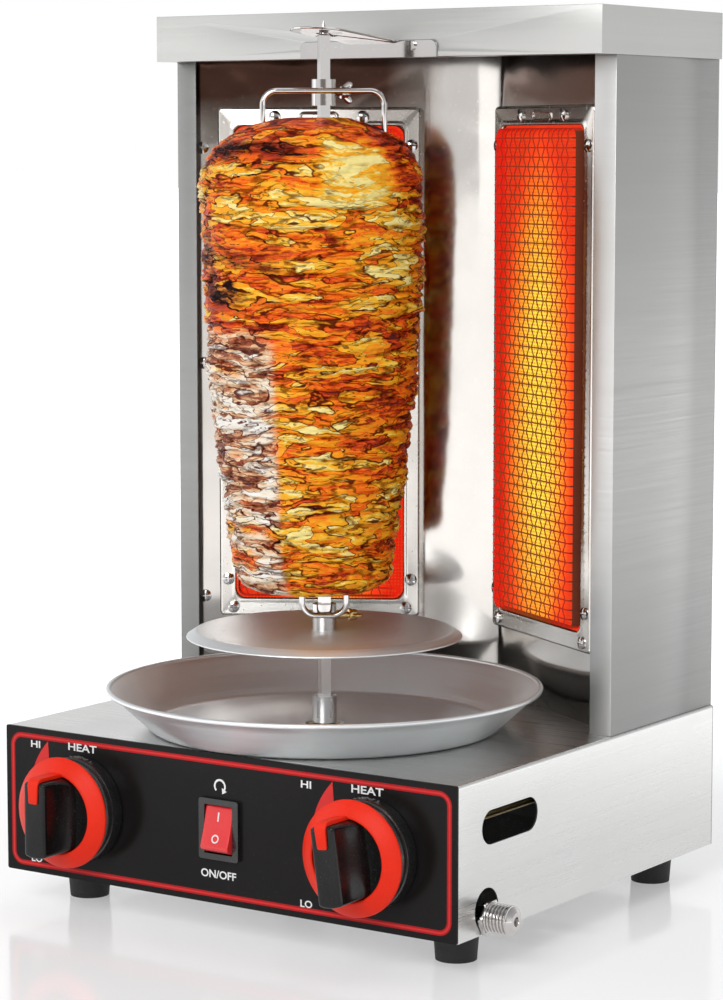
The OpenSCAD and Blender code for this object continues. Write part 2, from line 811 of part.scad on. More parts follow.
// Tray that holds the tiles, with the tube that brings gas and air in from below
module burner_housing(left) {
    depth = housing_back - tile_front;
    color(polished) placed() on_burner(left) {
        difference() {
            translate([-housing_w / 2, tile_front, -housing_h / 2]) cube([housing_w, depth, housing_h]);
            translate([-tile_w / 2, tile_front - 1, -tile_h / 2])
                cube([tile_w, depth + 1 - housing_t, tile_h]);
            translate([mixer_s - burner_s, mixer_y, -housing_h / 2 - 1])
                cylinder(d = mixer_d - 2, h = 4);
        }
        translate([mixer_s - burner_s, mixer_y, mixer_foot - burner_z]) difference() {
            cylinder(d = mixer_d, h = burner_z - mixer_foot - housing_h / 2 + sink);
            translate([0, 0, -1]) cylinder(d = mixer_d - 2, h = burner_z);
        }
        // ledge behind the tiles
        for (s = [-1, 1]) translate([s * (tile_w / 2 - 2) - 2, tile_front + tile_t, -tile_h / 2])
            cube([4, 1.5, tile_h]);
    }
}

module ceramic_tiles(left) {
    one_h = tile_h / tile_count;
    color(ceramic) placed() on_burner(left) for (i = [0 : tile_count - 1])
        translate([-tile_w / 2 + 0.1, tile_front, i * one_h - tile_h / 2 + 0.1])
            cube([tile_w - 0.2, tile_t, one_h - 0.2]);
}

module burner_frame(left) {
    color(polished) placed() on_burner(left) rotate([90, 0, 0]) difference() {
        linear_extrude(frame_rise) rounded(burner_w, burner_h, frame_corner);
        translate([0, 0, -1]) linear_extrude(frame_rise + 1 - cover_t)
            rounded(burner_w - 2 * cover_t, burner_h - 2 * cover_t, frame_corner - cover_t);
        translate([0, 0, -1]) linear_extrude(frame_rise + 2) rounded(open_w, open_h, open_corner);
        for (p = frame_screw_spots()) translate([p[0], p[1], 0])
            cylinder(d = screw_d + bolt_play, h = frame_rise + 1);
    }
}

// Square mesh bent to a shallow tray, standing on the frame
module wire_guard(left) {
    face_w = open_w - 2 * guard_gap;
    face_h = open_h - 2 * guard_gap;
    rise = guard_rise + cover_t;
    color(signal_red) placed() on_burner(left) rotate([90, 0, 0]) {
        translate([0, 0, frame_rise + guard_rise - guard_wire])
            mesh_plate(face_w, face_h, guard_cols, guard_rows);
        for (s = [-1, 1]) {
            translate([s * (face_w - guard_wire) / 2 - guard_wire / 2, 0, frame_rise - cover_t])
                translate([0, 0, rise / 2]) rotate([0, 90, 0])
                    mesh_plate(rise, face_h, 1, guard_rows);
            translate([0, s * (face_h - guard_wire) / 2 + guard_wire / 2, frame_rise - cover_t])
                translate([0, 0, rise / 2]) rotate([90, 0, 0])
                    mesh_plate(face_w, rise, guard_cols, 1);
        }
    }
}

// All of them alike but for their length: burner frames, lining, feet and gearbox
module pan_head_screws() {
    color(polished) placed() {
        for (left = [false, true]) {
            on_burner(left) for (p = frame_screw_spots())
                translate([p[0], -frame_rise, p[1]]) rotate([90, 0, 0]) pan_screw(frame_rise + 5);
            on_lining(left) for (z = wall_screw_heights())
                translate([wall_screw_s, 0, z]) rotate([90, 0, 0]) pan_screw(5);
        }
        for (s = [-1, 1], y = foot_rows())
            translate([s * (base_w / 2 - foot_inset_x), y, foot_h - foot_floor])
                mirror([0, 0, 1]) pan_screw(foot_floor + sheet_t + 5);
        for (s = [-1, 1], y = [0, motor_y]) translate([s * box_ear_x, spit_y + y, box_z])
            mirror([0, 0, 1]) pan_screw(deck_z - box_z);
    }
}

// ---------------------------------------------------------------- tower

module side_wall(left) {
    out = tower_w / 2;
    color(brushed) placed() on_side(left) translate([0, 0, deck_z])
        linear_extrude(wall_h) polygon([
            [out - front_flange, tower_y], [out, tower_y],
            [out, wall_back], [out - rear_flange, wall_back],
            [out - rear_flange, wall_back - sheet_t], [wall_in, wall_back - sheet_t],
            [wall_in, tower_y + sheet_t], [out - front_flange, tower_y + sheet_t]
        ]);
}

// One polished sheet, folded twice, with a tab along each side wall
module reflector_lining() {
    half = strip_w / 2;
    back_x = half + sheet_t * tan(lining_angle / 2);
    back_end = strip_y + (sheet_t - (wall_in - sheet_t - half) * sin(lining_angle)) / cos(lining_angle);
    right = [
        [half, strip_y], [wall_in, lining_end_y], [wall_in, lining_end_y + lining_tab],
        [wall_in - sheet_t, lining_end_y + lining_tab], [wall_in - sheet_t, back_end],
        [back_x, strip_y + sheet_t]
    ];
    left = [for (i = [len(right) - 1 : -1 : 0]) [-right[i][0], right[i][1]]];
    color(polished) placed() difference() {
        translate([0, 0, deck_z]) linear_extrude(wall_h) polygon(concat(right, left));
        for (left_side = [false, true]) {
            on_burner(left_side) {
                translate([0, 3 * sheet_t, 0]) rotate([90, 0, 0]) linear_extrude(6 * sheet_t)
                    square([housing_w + 2 * seat_gap, housing_h + 2 * seat_gap], center = true);
                for (p = frame_screw_spots()) translate([p[0], 3 * sheet_t, p[1]])
                    rotate([90, 0, 0]) cylinder(d = screw_d + bolt_play, h = 6 * sheet_t);
            }
            on_lining(left_side) for (z = wall_screw_heights())
                translate([wall_screw_s, 3 * sheet_t, z]) rotate([90, 0, 0])
                    cylinder(d = screw_d + bolt_play, h = 6 * sheet_t);
        }
    }
}

module rear_cover() {
    color(brushed) placed() difference() {
        translate([-tower_w / 2, wall_back, deck_z]) cube([tower_w, sheet_t, wall_h]);
        // outlets for the hot air
        for (s = [-1, 1], i = [0 : 7])
            translate([s * tower_w / 4, wall_back + 3, deck_z + tower_h - 40 - i * 12])
                rotate([90, 0, 0]) linear_extrude(6) obround(90, 5);
    }
}

module top_cover() {
    front = cap_front;
    depth = base_d + sheet_t + seat_gap - front;
    lip = 18;
    color(brushed) placed() difference() {
        translate([-cap_w / 2, front, roof_z]) cube([cap_w, depth, cap_h]);
        translate([sheet_t - cap_w / 2, front + sheet_t, roof_z + sheet_t])
            cube([cap_w - 2 * sheet_t, depth - 2 * sheet_t, cap_h - 2 * sheet_t]);
        // underside, open behind the front's return
        translate([sheet_t - cap_w / 2, front + lip, roof_z - 1])
            cube([cap_w - 2 * sheet_t, depth - lip - sheet_t, cap_h / 2]);
        bracket_screw_spots() rod_y(bracket_screw_d() + bolt_play, 0, 3 * sheet_t);
    }
}

// ---------------------------------------------------------------- retainer

// Upright leg on the front of the cap, with a tongue bent forward over the spit
module spit_retainer() {
    r = tongue_w / 2;
    color(polished) placed() difference() {
        union() {
            translate([0, cap_front, roof_z]) rotate([90, 0, 0]) linear_extrude(bracket_t)
                arched(bracket_w, bracket_h, 5);
            translate([tongue_x, cap_front - bracket_t, roof_z + bracket_h - bracket_t])
                rotate([-tongue_rise, 0, 0]) linear_extrude(bracket_t) {
                    translate([0, r - tongue_l]) circle(r);
                    translate([-r, r - tongue_l]) square([tongue_w, tongue_l - r + sink]);
                }
        }
        translate([0, spit_y, roof_z]) cylinder(d = tongue_hole_d, h = 4 * bracket_h);
        bracket_screw_spots() rod_y(bracket_screw_d() + bolt_play, -1, 3 * bracket_t);
    }
}

function bracket_screw_d() = 3;

module bracket_screw_spots() {
    for (s = [-1, 1])
        translate([s * bracket_screw_x, cap_front - bracket_t, roof_z + bracket_h - 4])
            children();
}

// Slotted cheese-head screws of the retainer
module retainer_screws() {
    head_d = 6.5;
    head_h = 2;
    color(polished) placed() bracket_screw_spots() {
        difference() {
            rod_y(head_d, -head_h, head_h);
            translate([-0.5, -head_h - 1, -head_d]) cube([1, 2, 2 * head_d]);
        }
        rod_y(bracket_screw_d(), -0.5, bracket_t + sheet_t + 2);
    }
}

// ---------------------------------------------------------------- drive

function bush_d() = shaft_d + 6;

module gearbox_housing() {
    color(polished) placed() translate([0, spit_y, box_z]) difference() {
        union() {
            linear_extrude(box_h - box_wall) two_lobes(box_r, motor_y);
            gearbox_lugs(box_h - box_wall, box_h - box_wall);
        }
        translate([0, 0, box_wall]) linear_extrude(box_h) two_lobes(box_r - box_wall, motor_y);
        translate([0, 0, -1]) cylinder(d = shaft_d + 2 * shaft_play, h = box_wall + 2);
        translate([0, motor_y, -1]) cylinder(d = pinion_shaft_d + 1, h = box_wall + 2);
        gearbox_screw_holes();
    }
}

// Ears for the four screws: posts of one height, webs of another
module gearbox_lugs(post_h, web_h) {
    for (s = [0, 1], y = [0, motor_y]) mirror([s, 0, 0]) translate([box_ear_x, y, 0]) {
        cylinder(d = box_ear_d, h = post_h);
        translate([box_r - box_ear_x - 1, -box_ear_d / 2, 0])
            cube([box_ear_x - box_r + 1, box_ear_d, web_h]);
    }
}

module gearbox_screw_holes() {
    for (s = [-1, 1], y = [0, motor_y]) translate([s * box_ear_x, y, -1])
        cylinder(d = screw_d + bolt_play, h = 2 * box_h);
}

// Lid of the gearbox, whose posts hang it from the deck
module gearbox_cover() {
    color(polished) placed() translate([0, spit_y, box_top - box_wall]) difference() {
        union() {
            linear_extrude(box_wall) two_lobes(box_r, motor_y);
            gearbox_lugs(deck_z - sheet_t - box_top + box_wall, box_wall);
        }
        translate([0, 0, -1]) cylinder(d = shaft_d + 2 * shaft_play, h = box_wall + 2);
        translate([0, motor_y, -1]) cylinder(d = pinion_shaft_d + 2 * shaft_play, h = box_wall + 2);
        gearbox_screw_holes();
    }
}

module motor_can() {
    motor_boss = 4;
    color(polished) placed() translate([0, spit_y + motor_y, box_z - motor_l]) difference() {
        union() {
            cylinder(d = motor_d, h = motor_l);
            translate([0, 0, -motor_boss]) cylinder(d = motor_d * 0.4, h = motor_boss + 1);
        }
        translate([0, 0, motor_end]) cylinder(d = motor_d - 2 * motor_wall, h = motor_l - 2 * motor_end);
        translate([0, 0, motor_l - motor_end - 1])
            cylinder(d = pinion_shaft_d + 2 * shaft_play, h = motor_end + 2);
    }
}

// Rotor, shaft and pinion of the motor
module motor_pinion() {
    inset = motor_end + rotor_gap;
    color(brass) placed() translate([0, spit_y + motor_y, 0]) {
        translate([0, 0, box_z - motor_l + inset])
            cylinder(d = motor_d - 2 * (motor_wall + rotor_gap), h = motor_l - 2 * inset);
        translate([0, 0, box_z - 8]) cylinder(d = pinion_shaft_d, h = box_h + 6.5);
        translate([0, 0, gear_z]) rotate([0, 0, 180 / pinion_teeth - 90]) linear_extrude(gear_w)
            polygon(gear_outline(pinion_teeth, gear_module));
    }
}

module drive_gear() {
    color(brass) placed() translate([0, spit_y, 0]) {
        translate([0, 0, box_z]) cylinder(d = shaft_d, h = socket_z + 6 - box_z);
        translate([0, 0, gear_z]) rotate([0, 0, 90]) linear_extrude(gear_w)
            polygon(gear_outline(gear_teeth, gear_module));
    }
}

// Fluted socket with a square hole for the spit
module drive_socket() {
    square_w = spit_w + 2 * flat_fit;
    color(polished) placed() on_spit(socket_z - deck_z) difference() {
        cylinder(d = socket_d, h = socket_h);
        translate([0, 0, -1]) cylinder(d = shaft_d, h = 7);
        rotate([0, 0, flat_turn]) translate([-square_w / 2, -square_w / 2, 7])
            cube([square_w, square_w, socket_h]);
        for (a = [0 : 60 : 300]) rotate([0, 0, a]) translate([socket_d / 2 - 1.2, -1.2, 4])
            cube([3, 2.4, socket_h - 7]);
    }
}

module deck_bush() {
    flange_d = bush_d() + 6;
    color(brass) placed() translate([0, spit_y, 0]) difference() {
        union() {
            translate([0, 0, deck_z - 7]) cylinder(d = bush_d(), h = 8);
            translate([0, 0, deck_z]) cylinder(d = flange_d, h = 2);
        }
        cylinder(d = shaft_d + 2 * shaft_play, h = deck_z + 10);
    }
}

// ---------------------------------------------------------------- spit

spit_foot = socket_z + 7.5 - deck_z;
shoulder_h = 4;
tip_l = 10;

module spit_rod() {
    color(polished) placed() on_spit() {
        rotate([0, 0, flat_turn]) translate([-spit_w / 2, -spit_w / 2, spit_foot])
            cube([spit_w, spit_w, spit_top - tip_l - spit_foot]);
        translate([0, 0, spit_top - tip_l]) cylinder(d1 = spit_w, d2 = 1.2, h = tip_l);
        translate([0, 0, plate_z - plate_t - shoulder_h]) cylinder(d = spit_w * 2, h = shoulder_h);
    }
}

module drip_plate() {
    r = plate_d / 2;
    rim = 8;
    drop = 4;
    color(polished) placed() on_spit() rotate_extrude() polygon([
        [spit_w * 0.72, plate_z - plate_t], [r - rim, plate_z - plate_t],
        [r - 0.6, plate_z - plate_t - drop], [r, plate_z - drop],
        [r - rim + 0.6, plate_z], [spit_w * 0.72, plate_z]
    ]);
}

// Sliding collar with its square hole and the hole for its screw
module collar() {
    square_w = spit_w + 2 * flat_fit;
    difference() {
        cylinder(d = collar_d, h = collar_h);
        rotate([0, 0, flat_turn]) {
            translate([-square_w / 2, -square_w / 2, -1]) cube([square_w, square_w, collar_h + 2]);
            translate([0, 0, collar_h / 2]) rod_x(thumb_d + 2 * shaft_play, 0, collar_d);
        }
    }
}

// Wire bent to a U, its middle at the origin, prongs towards +z
module fork_wire_bow(span, prong) {
    bend = 10;
    tip = 8;
    rod_x(fork_wire, bend - span, 2 * (span - bend));
    for (s = [0, 1]) mirror([s, 0, 0]) {
        translate([span - bend, 0, bend]) rotate([90, 0, 0]) rotate([0, 0, -90])
            rotate_extrude(angle = 90) translate([bend, 0]) circle(d = fork_wire);
        translate([span, 0, bend]) cylinder(d = fork_wire, h = prong - bend - tip);
        translate([span, 0, prong - tip]) cylinder(d1 = fork_wire, d2 = 1, h = tip);
    }
}

module lower_fork() {
    color(polished) placed() on_spit(lower_collar_z) {
        collar();
        translate([0, -fork_off, collar_h / 2 + 2]) fork_wire_bow(lower_span, lower_prong);
    }
}

module upper_fork() {
    color(polished) placed() on_spit(upper_collar_z) {
        collar();
        translate([0, -fork_off, collar_h / 2 + 1]) mirror([0, 0, 1])
            fork_wire_bow(upper_span, upper_prong);
    }
}

// Thumb screw on a collar, standing out by some length, its wings upright or level
module thumb_screw(z, out, wing_turn) {
    tip = spit_w / 2 + flat_fit + 0.1;
    hub = collar_r + out;
    wing_t = 2.4;
    color(brass) placed() on_spit(z + collar_h / 2) rotate([0, 0, flat_turn]) {
        rod_x(thumb_d, tip, hub - tip + 1);
        rod_x(thumb_hub_d, hub, 5);
        rotate([wing_turn, 0, 0]) for (s = [0, 1]) mirror([0, 0, s])
            translate([hub + 1, wing_t / 2, 0]) rotate([90, 0, 0]) linear_extrude(wing_t) polygon([
                [0, 0], [0, 3.5], [6, wing_l - 1.5], [9, wing_l], [11, wing_l - 1],
                [10, wing_l - 4], [6, 3], [4.5, 0]
            ]);
    }
}

module lower_thumb_screw() { thumb_screw(lower_collar_z, lower_screw_out, 90); }

module upper_thumb_screw() { thumb_screw(upper_collar_z, upper_screw_out, 0); }

// Half-width of the stack at height t, 0 at its foot and 1 at its crown
function meat_r(t) =
    let (body = meat_bottom_r + (meat_top_r - meat_bottom_r) * pow(sin(t * 105) / sin(75), 0.8),
         foot = t < 0.05 ? sqrt(1 - pow(1 - t / 0.05, 2)) * 0.35 + 0.65 : 1,
         crown = t > 0.9 ? sqrt(max(0, 1 - pow((t - 0.9) / 0.105, 2))) * 0.75 + 0.25 : 1)
    body * min(foot, crown);

// Stack of slices on the spit, each with a bulging edge
module meat_stack() {
    bulge = 1.6;
    tall = meat_top - meat_bottom;
    slice = tall / meat_slices;
    side = [for (i = [0 : meat_slices - 1], k = [0, 0.3, 0.75])
        let (z = (i + k) * slice, t = z / tall)
        [meat_r(t) + (k > 0 ? bulge * (0.7 + 0.5 * sin(i * 137)) : 0), meat_bottom + z]];
    color(meat_brown) placed() on_spit() difference() {
        translate([-meat_offset, 0, 0]) rotate_extrude()
            polygon(concat([[0, meat_bottom]], side, [[meat_r(1), meat_top], [0, meat_top]]));
        rotate([0, 0, flat_turn]) translate([-spit_w / 2, -spit_w / 2, meat_bottom - 1])
            cube([spit_w, spit_w, tall + 2]);
        for (s = [-1, 1]) {
            translate([s * upper_span, -fork_off, meat_top - 90])
                cylinder(d = fork_wire + 1, h = 100);
            translate([s * lower_span, -fork_off, meat_bottom - 1])
                cylinder(d = fork_wire + 1, h = lower_prong + 2);
        }
    }
}

// ---------------------------------------------------------------- drip pan

// Height and radius of the wall, from the floor's edge round a soft corner to the rim
module drip_pan() {
    rim_r = pan_d / 2;
    floor_r = pan_floor_d / 2;
    corner = 8;
    roll = 1.8;
    lean = atan2(rim_r - roll - floor_r, pan_h);
    arc = [for (a = [0 : 15 : 90 - lean])
        [floor_r - corner * 0.3 + corner * sin(a), corner * (1 - cos(a))]];
    lower = concat([[pan_hole_d / 2 + pan_t, 0]], arc, [[rim_r - roll, pan_h - roll]]);
    upper = [for (i = [len(lower) - 1 : -1 : 0]) lower[i] + [i == 0 ? 0 : -pan_t, pan_t]];
    color(polished) placed() translate([0, spit_y, deck_z]) rotate_extrude() {
        polygon(concat(lower, upper));
        translate([rim_r - roll, pan_h - roll]) circle(roll, $fn = 24);
        translate([pan_hole_d / 2, 0]) square([pan_t + 0.4, pan_collar_h]);
    }
}

// ---------------------------------------------------------------- assembly

base_shell();
base_floor();
base_rear();
control_panel();
foot(true, false);  // foot_front_left
foot(false, false);  // foot_front_right
foot(true, true);  // foot_rear_left
foot(false, true);  // foot_rear_right
cable_gland();
switch_housing();
switch_rocker();
manifold_pipe();
gas_inlet();
valve_body(true);  // valve_body_left
valve_body(false);  // valve_body_right
valve_poppet(true);  // valve_poppet_left
valve_poppet(false);  // valve_poppet_right
valve_spindle(true);  // valve_spindle_left
valve_spindle(false);  // valve_spindle_right
knob_rosette(true);  // knob_rosette_left
knob_rosette(false);  // knob_rosette_right
knob_ring(true);  // knob_ring_left
knob_ring(false);  // knob_ring_right
knob_grip(true);  // knob_grip_left
knob_grip(false);  // knob_grip_right
burner_pipe(true);  // burner_pipe_left
burner_pipe(false);  // burner_pipe_right
gas_jet(true);  // gas_jet_left
gas_jet(false);  // gas_jet_right
burner_housing(true);  // burner_housing_left
burner_housing(false);  // burner_housing_right
ceramic_tiles(true);  // ceramic_tiles_left
ceramic_tiles(false);  // ceramic_tiles_right
burner_frame(true);  // burner_frame_left
burner_frame(false);  // burner_frame_right
wire_guard(true);  // wire_guard_left
wire_guard(false);  // wire_guard_right
pan_head_screws();
side_wall(true);  // side_wall_left
side_wall(false);  // side_wall_right
reflector_lining();
rear_cover();
top_cover();
spit_retainer();
retainer_screws();
gearbox_housing();
gearbox_cover();
motor_can();
motor_pinion();
drive_gear();
drive_socket();
deck_bush();
spit_rod();
drip_plate();
lower_fork();
upper_fork();
lower_thumb_screw();
upper_thumb_screw();
meat_stack();
drip_pan();
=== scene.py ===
"""Vertical spit grill: its dressed pieces, finishes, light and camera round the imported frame.

Shapes are worked out in machine millimetres: x from the middle of the cabinet to the right, y from
the front panel backwards, z up from the worktop. Shell.piece turns them into the row frame.
"""

import logging
import math
from dataclasses import dataclass, field, replace
from enum import Enum
from typing import Any, Callable, Mapping, Sequence

import bmesh
import bpy
import numpy as np
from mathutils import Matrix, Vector


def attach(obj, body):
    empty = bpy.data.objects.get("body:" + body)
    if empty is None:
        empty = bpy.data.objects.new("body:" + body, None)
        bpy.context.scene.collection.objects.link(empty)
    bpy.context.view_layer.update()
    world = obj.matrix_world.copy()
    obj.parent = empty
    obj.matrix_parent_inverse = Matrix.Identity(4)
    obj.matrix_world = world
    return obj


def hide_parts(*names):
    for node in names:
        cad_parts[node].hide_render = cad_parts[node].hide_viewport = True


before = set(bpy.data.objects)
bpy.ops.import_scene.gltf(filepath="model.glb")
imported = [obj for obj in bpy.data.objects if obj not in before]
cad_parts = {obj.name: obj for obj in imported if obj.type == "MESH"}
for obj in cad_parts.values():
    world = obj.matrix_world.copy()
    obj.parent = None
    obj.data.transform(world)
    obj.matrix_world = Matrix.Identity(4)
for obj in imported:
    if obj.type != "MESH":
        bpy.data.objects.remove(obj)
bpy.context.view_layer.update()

log = logging.getLogger("grill")

Colour = tuple[float, float, float]
Array = np.ndarray
Node = bpy.types.Node
Socket = bpy.types.NodeSocket

ROW_ORIGIN = np.array([11.5, 155.5, 0.0])
MILLIMETRE = 0.001
TURN = 2 * math.pi

DECK_Z = 129.0
ROOF_Z = 599.0
SPIT_Y = 123.0
SPIT = np.array([0.0, SPIT_Y])
SPIT_TURN = math.radians(34)
FLAT_TURN = math.radians(20)
PANEL_Z = 77.0
KNOB_X = 122.0


# ---------- surfaces


def to_row(points: Array) -> Array:
    """Machine millimetres to metres in the row frame."""
    return (np.asarray(points, float) - ROW_ORIGIN) * MILLIMETRE


def smooth_step(low: float, high: float, value: Array) -> Array:
    """Cubic ease 3t^2 - 2t^3 of value between low and high."""
    t = np.clip((value - low) / (high - low), 0, 1)
    return t * t * (3 - 2 * t)


def spin(points: Array, angle: float, axis: int, about: Sequence[float] = (0, 0, 0)) -> Array:
    """Turns points by an angle about the x, y or z axis through a point.

    Args:
        points: any array whose last axis holds x, y and z.
        angle: radians, right-handed.
        axis: 0, 1 or 2 for x, y or z.
        about: a point on the axis.

    Returns:
        The turned points.
    """
    a, b = (axis + 1) % 3, (axis + 2) % 3
    moved = np.asarray(points, float) - np.asarray(about, float)
    out = moved.copy()
    out[..., a] = moved[..., a] * math.cos(angle) - moved[..., b] * math.sin(angle)
    out[..., b] = moved[..., a] * math.sin(angle) + moved[..., b] * math.cos(angle)
    return out + np.asarray(about, float)


def rounded_loop(width: float, height: float, radius: float, steps: int = 6) -> Array:
    """Rounded rectangle about the origin: quarter circles round points at half size less radius.

    Args:
        width: full width.
        height: full height.
        radius: radius of the corners.
        steps: pieces of a quarter circle.

    Returns:
        Points of the loop in order, (4 steps + 4, 2).
    """
    start = np.array([0, 1, 2, 3])[:, None] * math.pi / 2
    a = (start + np.linspace(0, math.pi / 2, steps + 1)[None]).ravel()
    sx = np.repeat([1, -1, -1, 1], steps + 1) * (width / 2 - radius)
    sy = np.repeat([1, 1, -1, -1], steps + 1) * (height / 2 - radius)
    return np.stack([sx + radius * np.cos(a), sy + radius * np.sin(a)], -1)


def revolved(profile: Array, count: int = 96) -> Array:
    """Profile turned about z: point (r cos a, r sin a, h) for each angle a.

    Args:
        profile: closed line of (radius r, height h).
        count: points round the axis.

    Returns:
        Loops of shape (points of the profile, count, 3).
    """
    a = np.arange(count) * TURN / count
    r, h = np.asarray(profile, float).T
    return np.stack(
        [r[:, None] * np.cos(a), r[:, None] * np.sin(a), np.repeat(h[:, None], count, 1)], -1
    )


def tubed(
    path: Array, across: Array | float, out: Array | float, normal: Sequence[float], sides: int = 12
) -> Array:
    """Ellipse carried along a flat path: path + across cos(a) n + out sin(a) (n x t), t the tangent.

    Args:
        path: points in order, (m, 3), all in one plane.
        across: half size along the plane's normal, one number or one for each point.
        out: half size in the plane.
        normal: the plane's normal n.
        sides: corners of the ellipse.

    Returns:
        Loops of shape (m, sides, 3).
    """
    n = np.asarray(normal, float) / np.linalg.norm(normal)
    t = np.gradient(path, axis=0)
    t /= np.linalg.norm(t, axis=1, keepdims=True)
    side = np.cross(n, t)
    a = np.arange(sides) * TURN / sides
    ones = np.ones(len(path))
    return (
        path[:, None]
        + (ones * across)[:, None, None] * np.cos(a)[None, :, None] * n
        + (ones * out)[:, None, None] * np.sin(a)[None, :, None] * side[:, None]
    )


def wander(u: Array, v: Array, cells: tuple[int, int], seed: int, octaves: int = 1) -> Array:
    """Smooth noise from 0 to 1 over a sheet that closes on itself in u.

    Random heights on a grid, eased between neighbours with 3t^2 - 2t^3 both ways; each octave has
    twice the cells and half the weight of the one before.

    Args:
        u: share of the way round, 0 to 1.
        v: share of the way up, 0 to 1.
        cells: cells round and up in the first octave.
        seed: seed of the random heights.
        octaves: number of layers summed.

    Returns:
        The noise, in the shape of u.
    """
    total = np.zeros(np.broadcast(u, v).shape)
    weight = 0.0
    for octave in range(octaves):
        nu, nv = cells[0] * 2**octave, cells[1] * 2**octave
        heights = np.random.default_rng(seed + octave).random((nv + 2, nu))
        x, y = (u % 1) * nu, np.clip(v, 0, 1) * nv
        i, j = np.floor(x).astype(int), np.floor(y).astype(int)
        fx, fy = x - i, y - j
        fx, fy = fx * fx * (3 - 2 * fx), fy * fy * (3 - 2 * fy)
        low = heights[j, i % nu] * (1 - fx) + heights[j, (i + 1) % nu] * fx
        high = heights[j + 1, i % nu] * (1 - fx) + heights[j + 1, (i + 1) % nu] * fx
        total += (low * (1 - fy) + high * fy) * 0.5**octave
        weight += 0.5**octave
    return total / weight


def cleaned(mesh: bpy.types.Mesh, merge: float, thin: float = 0.0) -> None:
    """Merges doubled points, drops faces without area and turns the faces outwards.

    Args:
        mesh: the mesh, changed in place.
        merge: metres within which points are one.
        thin: metres under which an edge is dropped; 0 keeps them all.
    """
    made = bmesh.new()
    made.from_mesh(mesh)
    bmesh.ops.remove_doubles(made, verts=made.verts, dist=merge)
    if thin:
        bmesh.ops.dissolve_degenerate(made, edges=made.edges, dist=thin)
    bmesh.ops.recalc_face_normals(made, faces=made.faces)
    made.to_mesh(mesh)
    made.free()


def set_on_body(name: str, mesh: bpy.types.Mesh, finish: "Finish", body: str) -> bpy.types.Object:
    """Dresses a mesh and sets it into the scene on a CAD body.

    Args:
        name: name of the piece.
        mesh: its mesh, with its place in it.
        finish: what it is dressed in.
        body: the CAD body that it rides on.

    Returns:
        The new object.
    """
    mesh.materials.clear()
    mesh.materials.append(finish.material())
    obj = bpy.data.objects.new(name, mesh)
    bpy.context.scene.collection.objects.link(obj)
    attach(obj, body)
    log.info("%s: %d faces on %s", name, len(mesh.polygons), body)
    return obj


class Shell:
    """Surfaces in machine millimetres, gathered into one mesh."""

    MERGE = 2e-6
    THIN = 1e-7

    def __init__(self) -> None:
        """Starts empty."""
        self.points: list[Array] = []
        self.quads: list[Array] = []
        self.count = 0

    def grid(self, points: Array, wrap_rows: bool = False, wrap_cols: bool = False) -> "Shell":
        """Adds a sheet of points.

        Args:
            points: (rows, columns, 3).
            wrap_rows: joins the last row to the first.
            wrap_cols: joins the last column to the first.

        Returns:
            The shell itself.
        """
        rows, cols = points.shape[:2]
        i = np.arange(rows if wrap_rows else rows - 1)[:, None]
        j = np.arange(cols if wrap_cols else cols - 1)[None]
        k, m = (i + 1) % rows, (j + 1) % cols
        quads = np.stack([i * cols + j, i * cols + m, k * cols + m, k * cols + j], -1)
        self.quads.append(quads.reshape(-1, 4) + self.count)
        self.points.append(points.reshape(-1, 3))
        self.count += rows * cols
        return self

    def ring(self, loops: Array) -> "Shell":
        """Adds a skin through closed loops whose last loop joins the first."""
        return self.grid(loops, True, True)

    def solid(self, loops: Array) -> "Shell":
        """Adds a skin through closed loops, with both ends closed on their middle."""
        ends = [np.broadcast_to(loops[k].mean(0), loops[k].shape)[None] for k in (0, -1)]
        return self.grid(np.concatenate([ends[0], loops, ends[1]]), False, True)

    def moved(self, angle: float, axis: int, shift: Sequence[float] = (0, 0, 0)) -> "Shell":
        """Turns all points about an axis through zero, then shifts them."""
        self.points = [spin(p, angle, axis) + np.asarray(shift, float) for p in self.points]
        return self

    def mapped(self, change: Callable[[Array], Array]) -> "Shell":
        """Passes all points through a function."""
        self.points = [change(p) for p in self.points]
        return self

    def piece(
        self,
        name: str,
        finish: "Finish",
        body: str,
        replaces: Sequence[str] = (),
        crease: float = 38,
        values: Mapping[str, Array] | None = None,
    ) -> bpy.types.Object:
        """Makes the mesh, merged and with its faces outwards, and sets it on its body.

        Args:
            name: name of the piece.
            finish: what it is dressed in.
            body: the CAD body that it rides on.
            replaces: CAD nodes that it stands for.
            crease: degrees between faces above which an edge shows.
            values: numbers for each point, kept as attributes of the mesh.

        Returns:
            The new object.
        """
        mesh = bpy.data.meshes.new(name)
        points = to_row(np.concatenate(self.points))
        mesh.from_pydata(points.tolist(), [], np.concatenate(self.quads).tolist())
        for key, numbers in (values or {}).items():
            layer = mesh.attributes.new(key, "FLOAT", "POINT")
            layer.data.foreach_set("value", np.asarray(numbers, np.float32).ravel())
        cleaned(mesh, self.MERGE, self.THIN)
        mesh.shade_smooth()
        mesh.set_sharp_from_angle(angle=math.radians(crease))
        obj = set_on_body(name, mesh, finish, body)
        if replaces:
            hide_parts(*replaces)
        return obj


# ---------- shader graphs


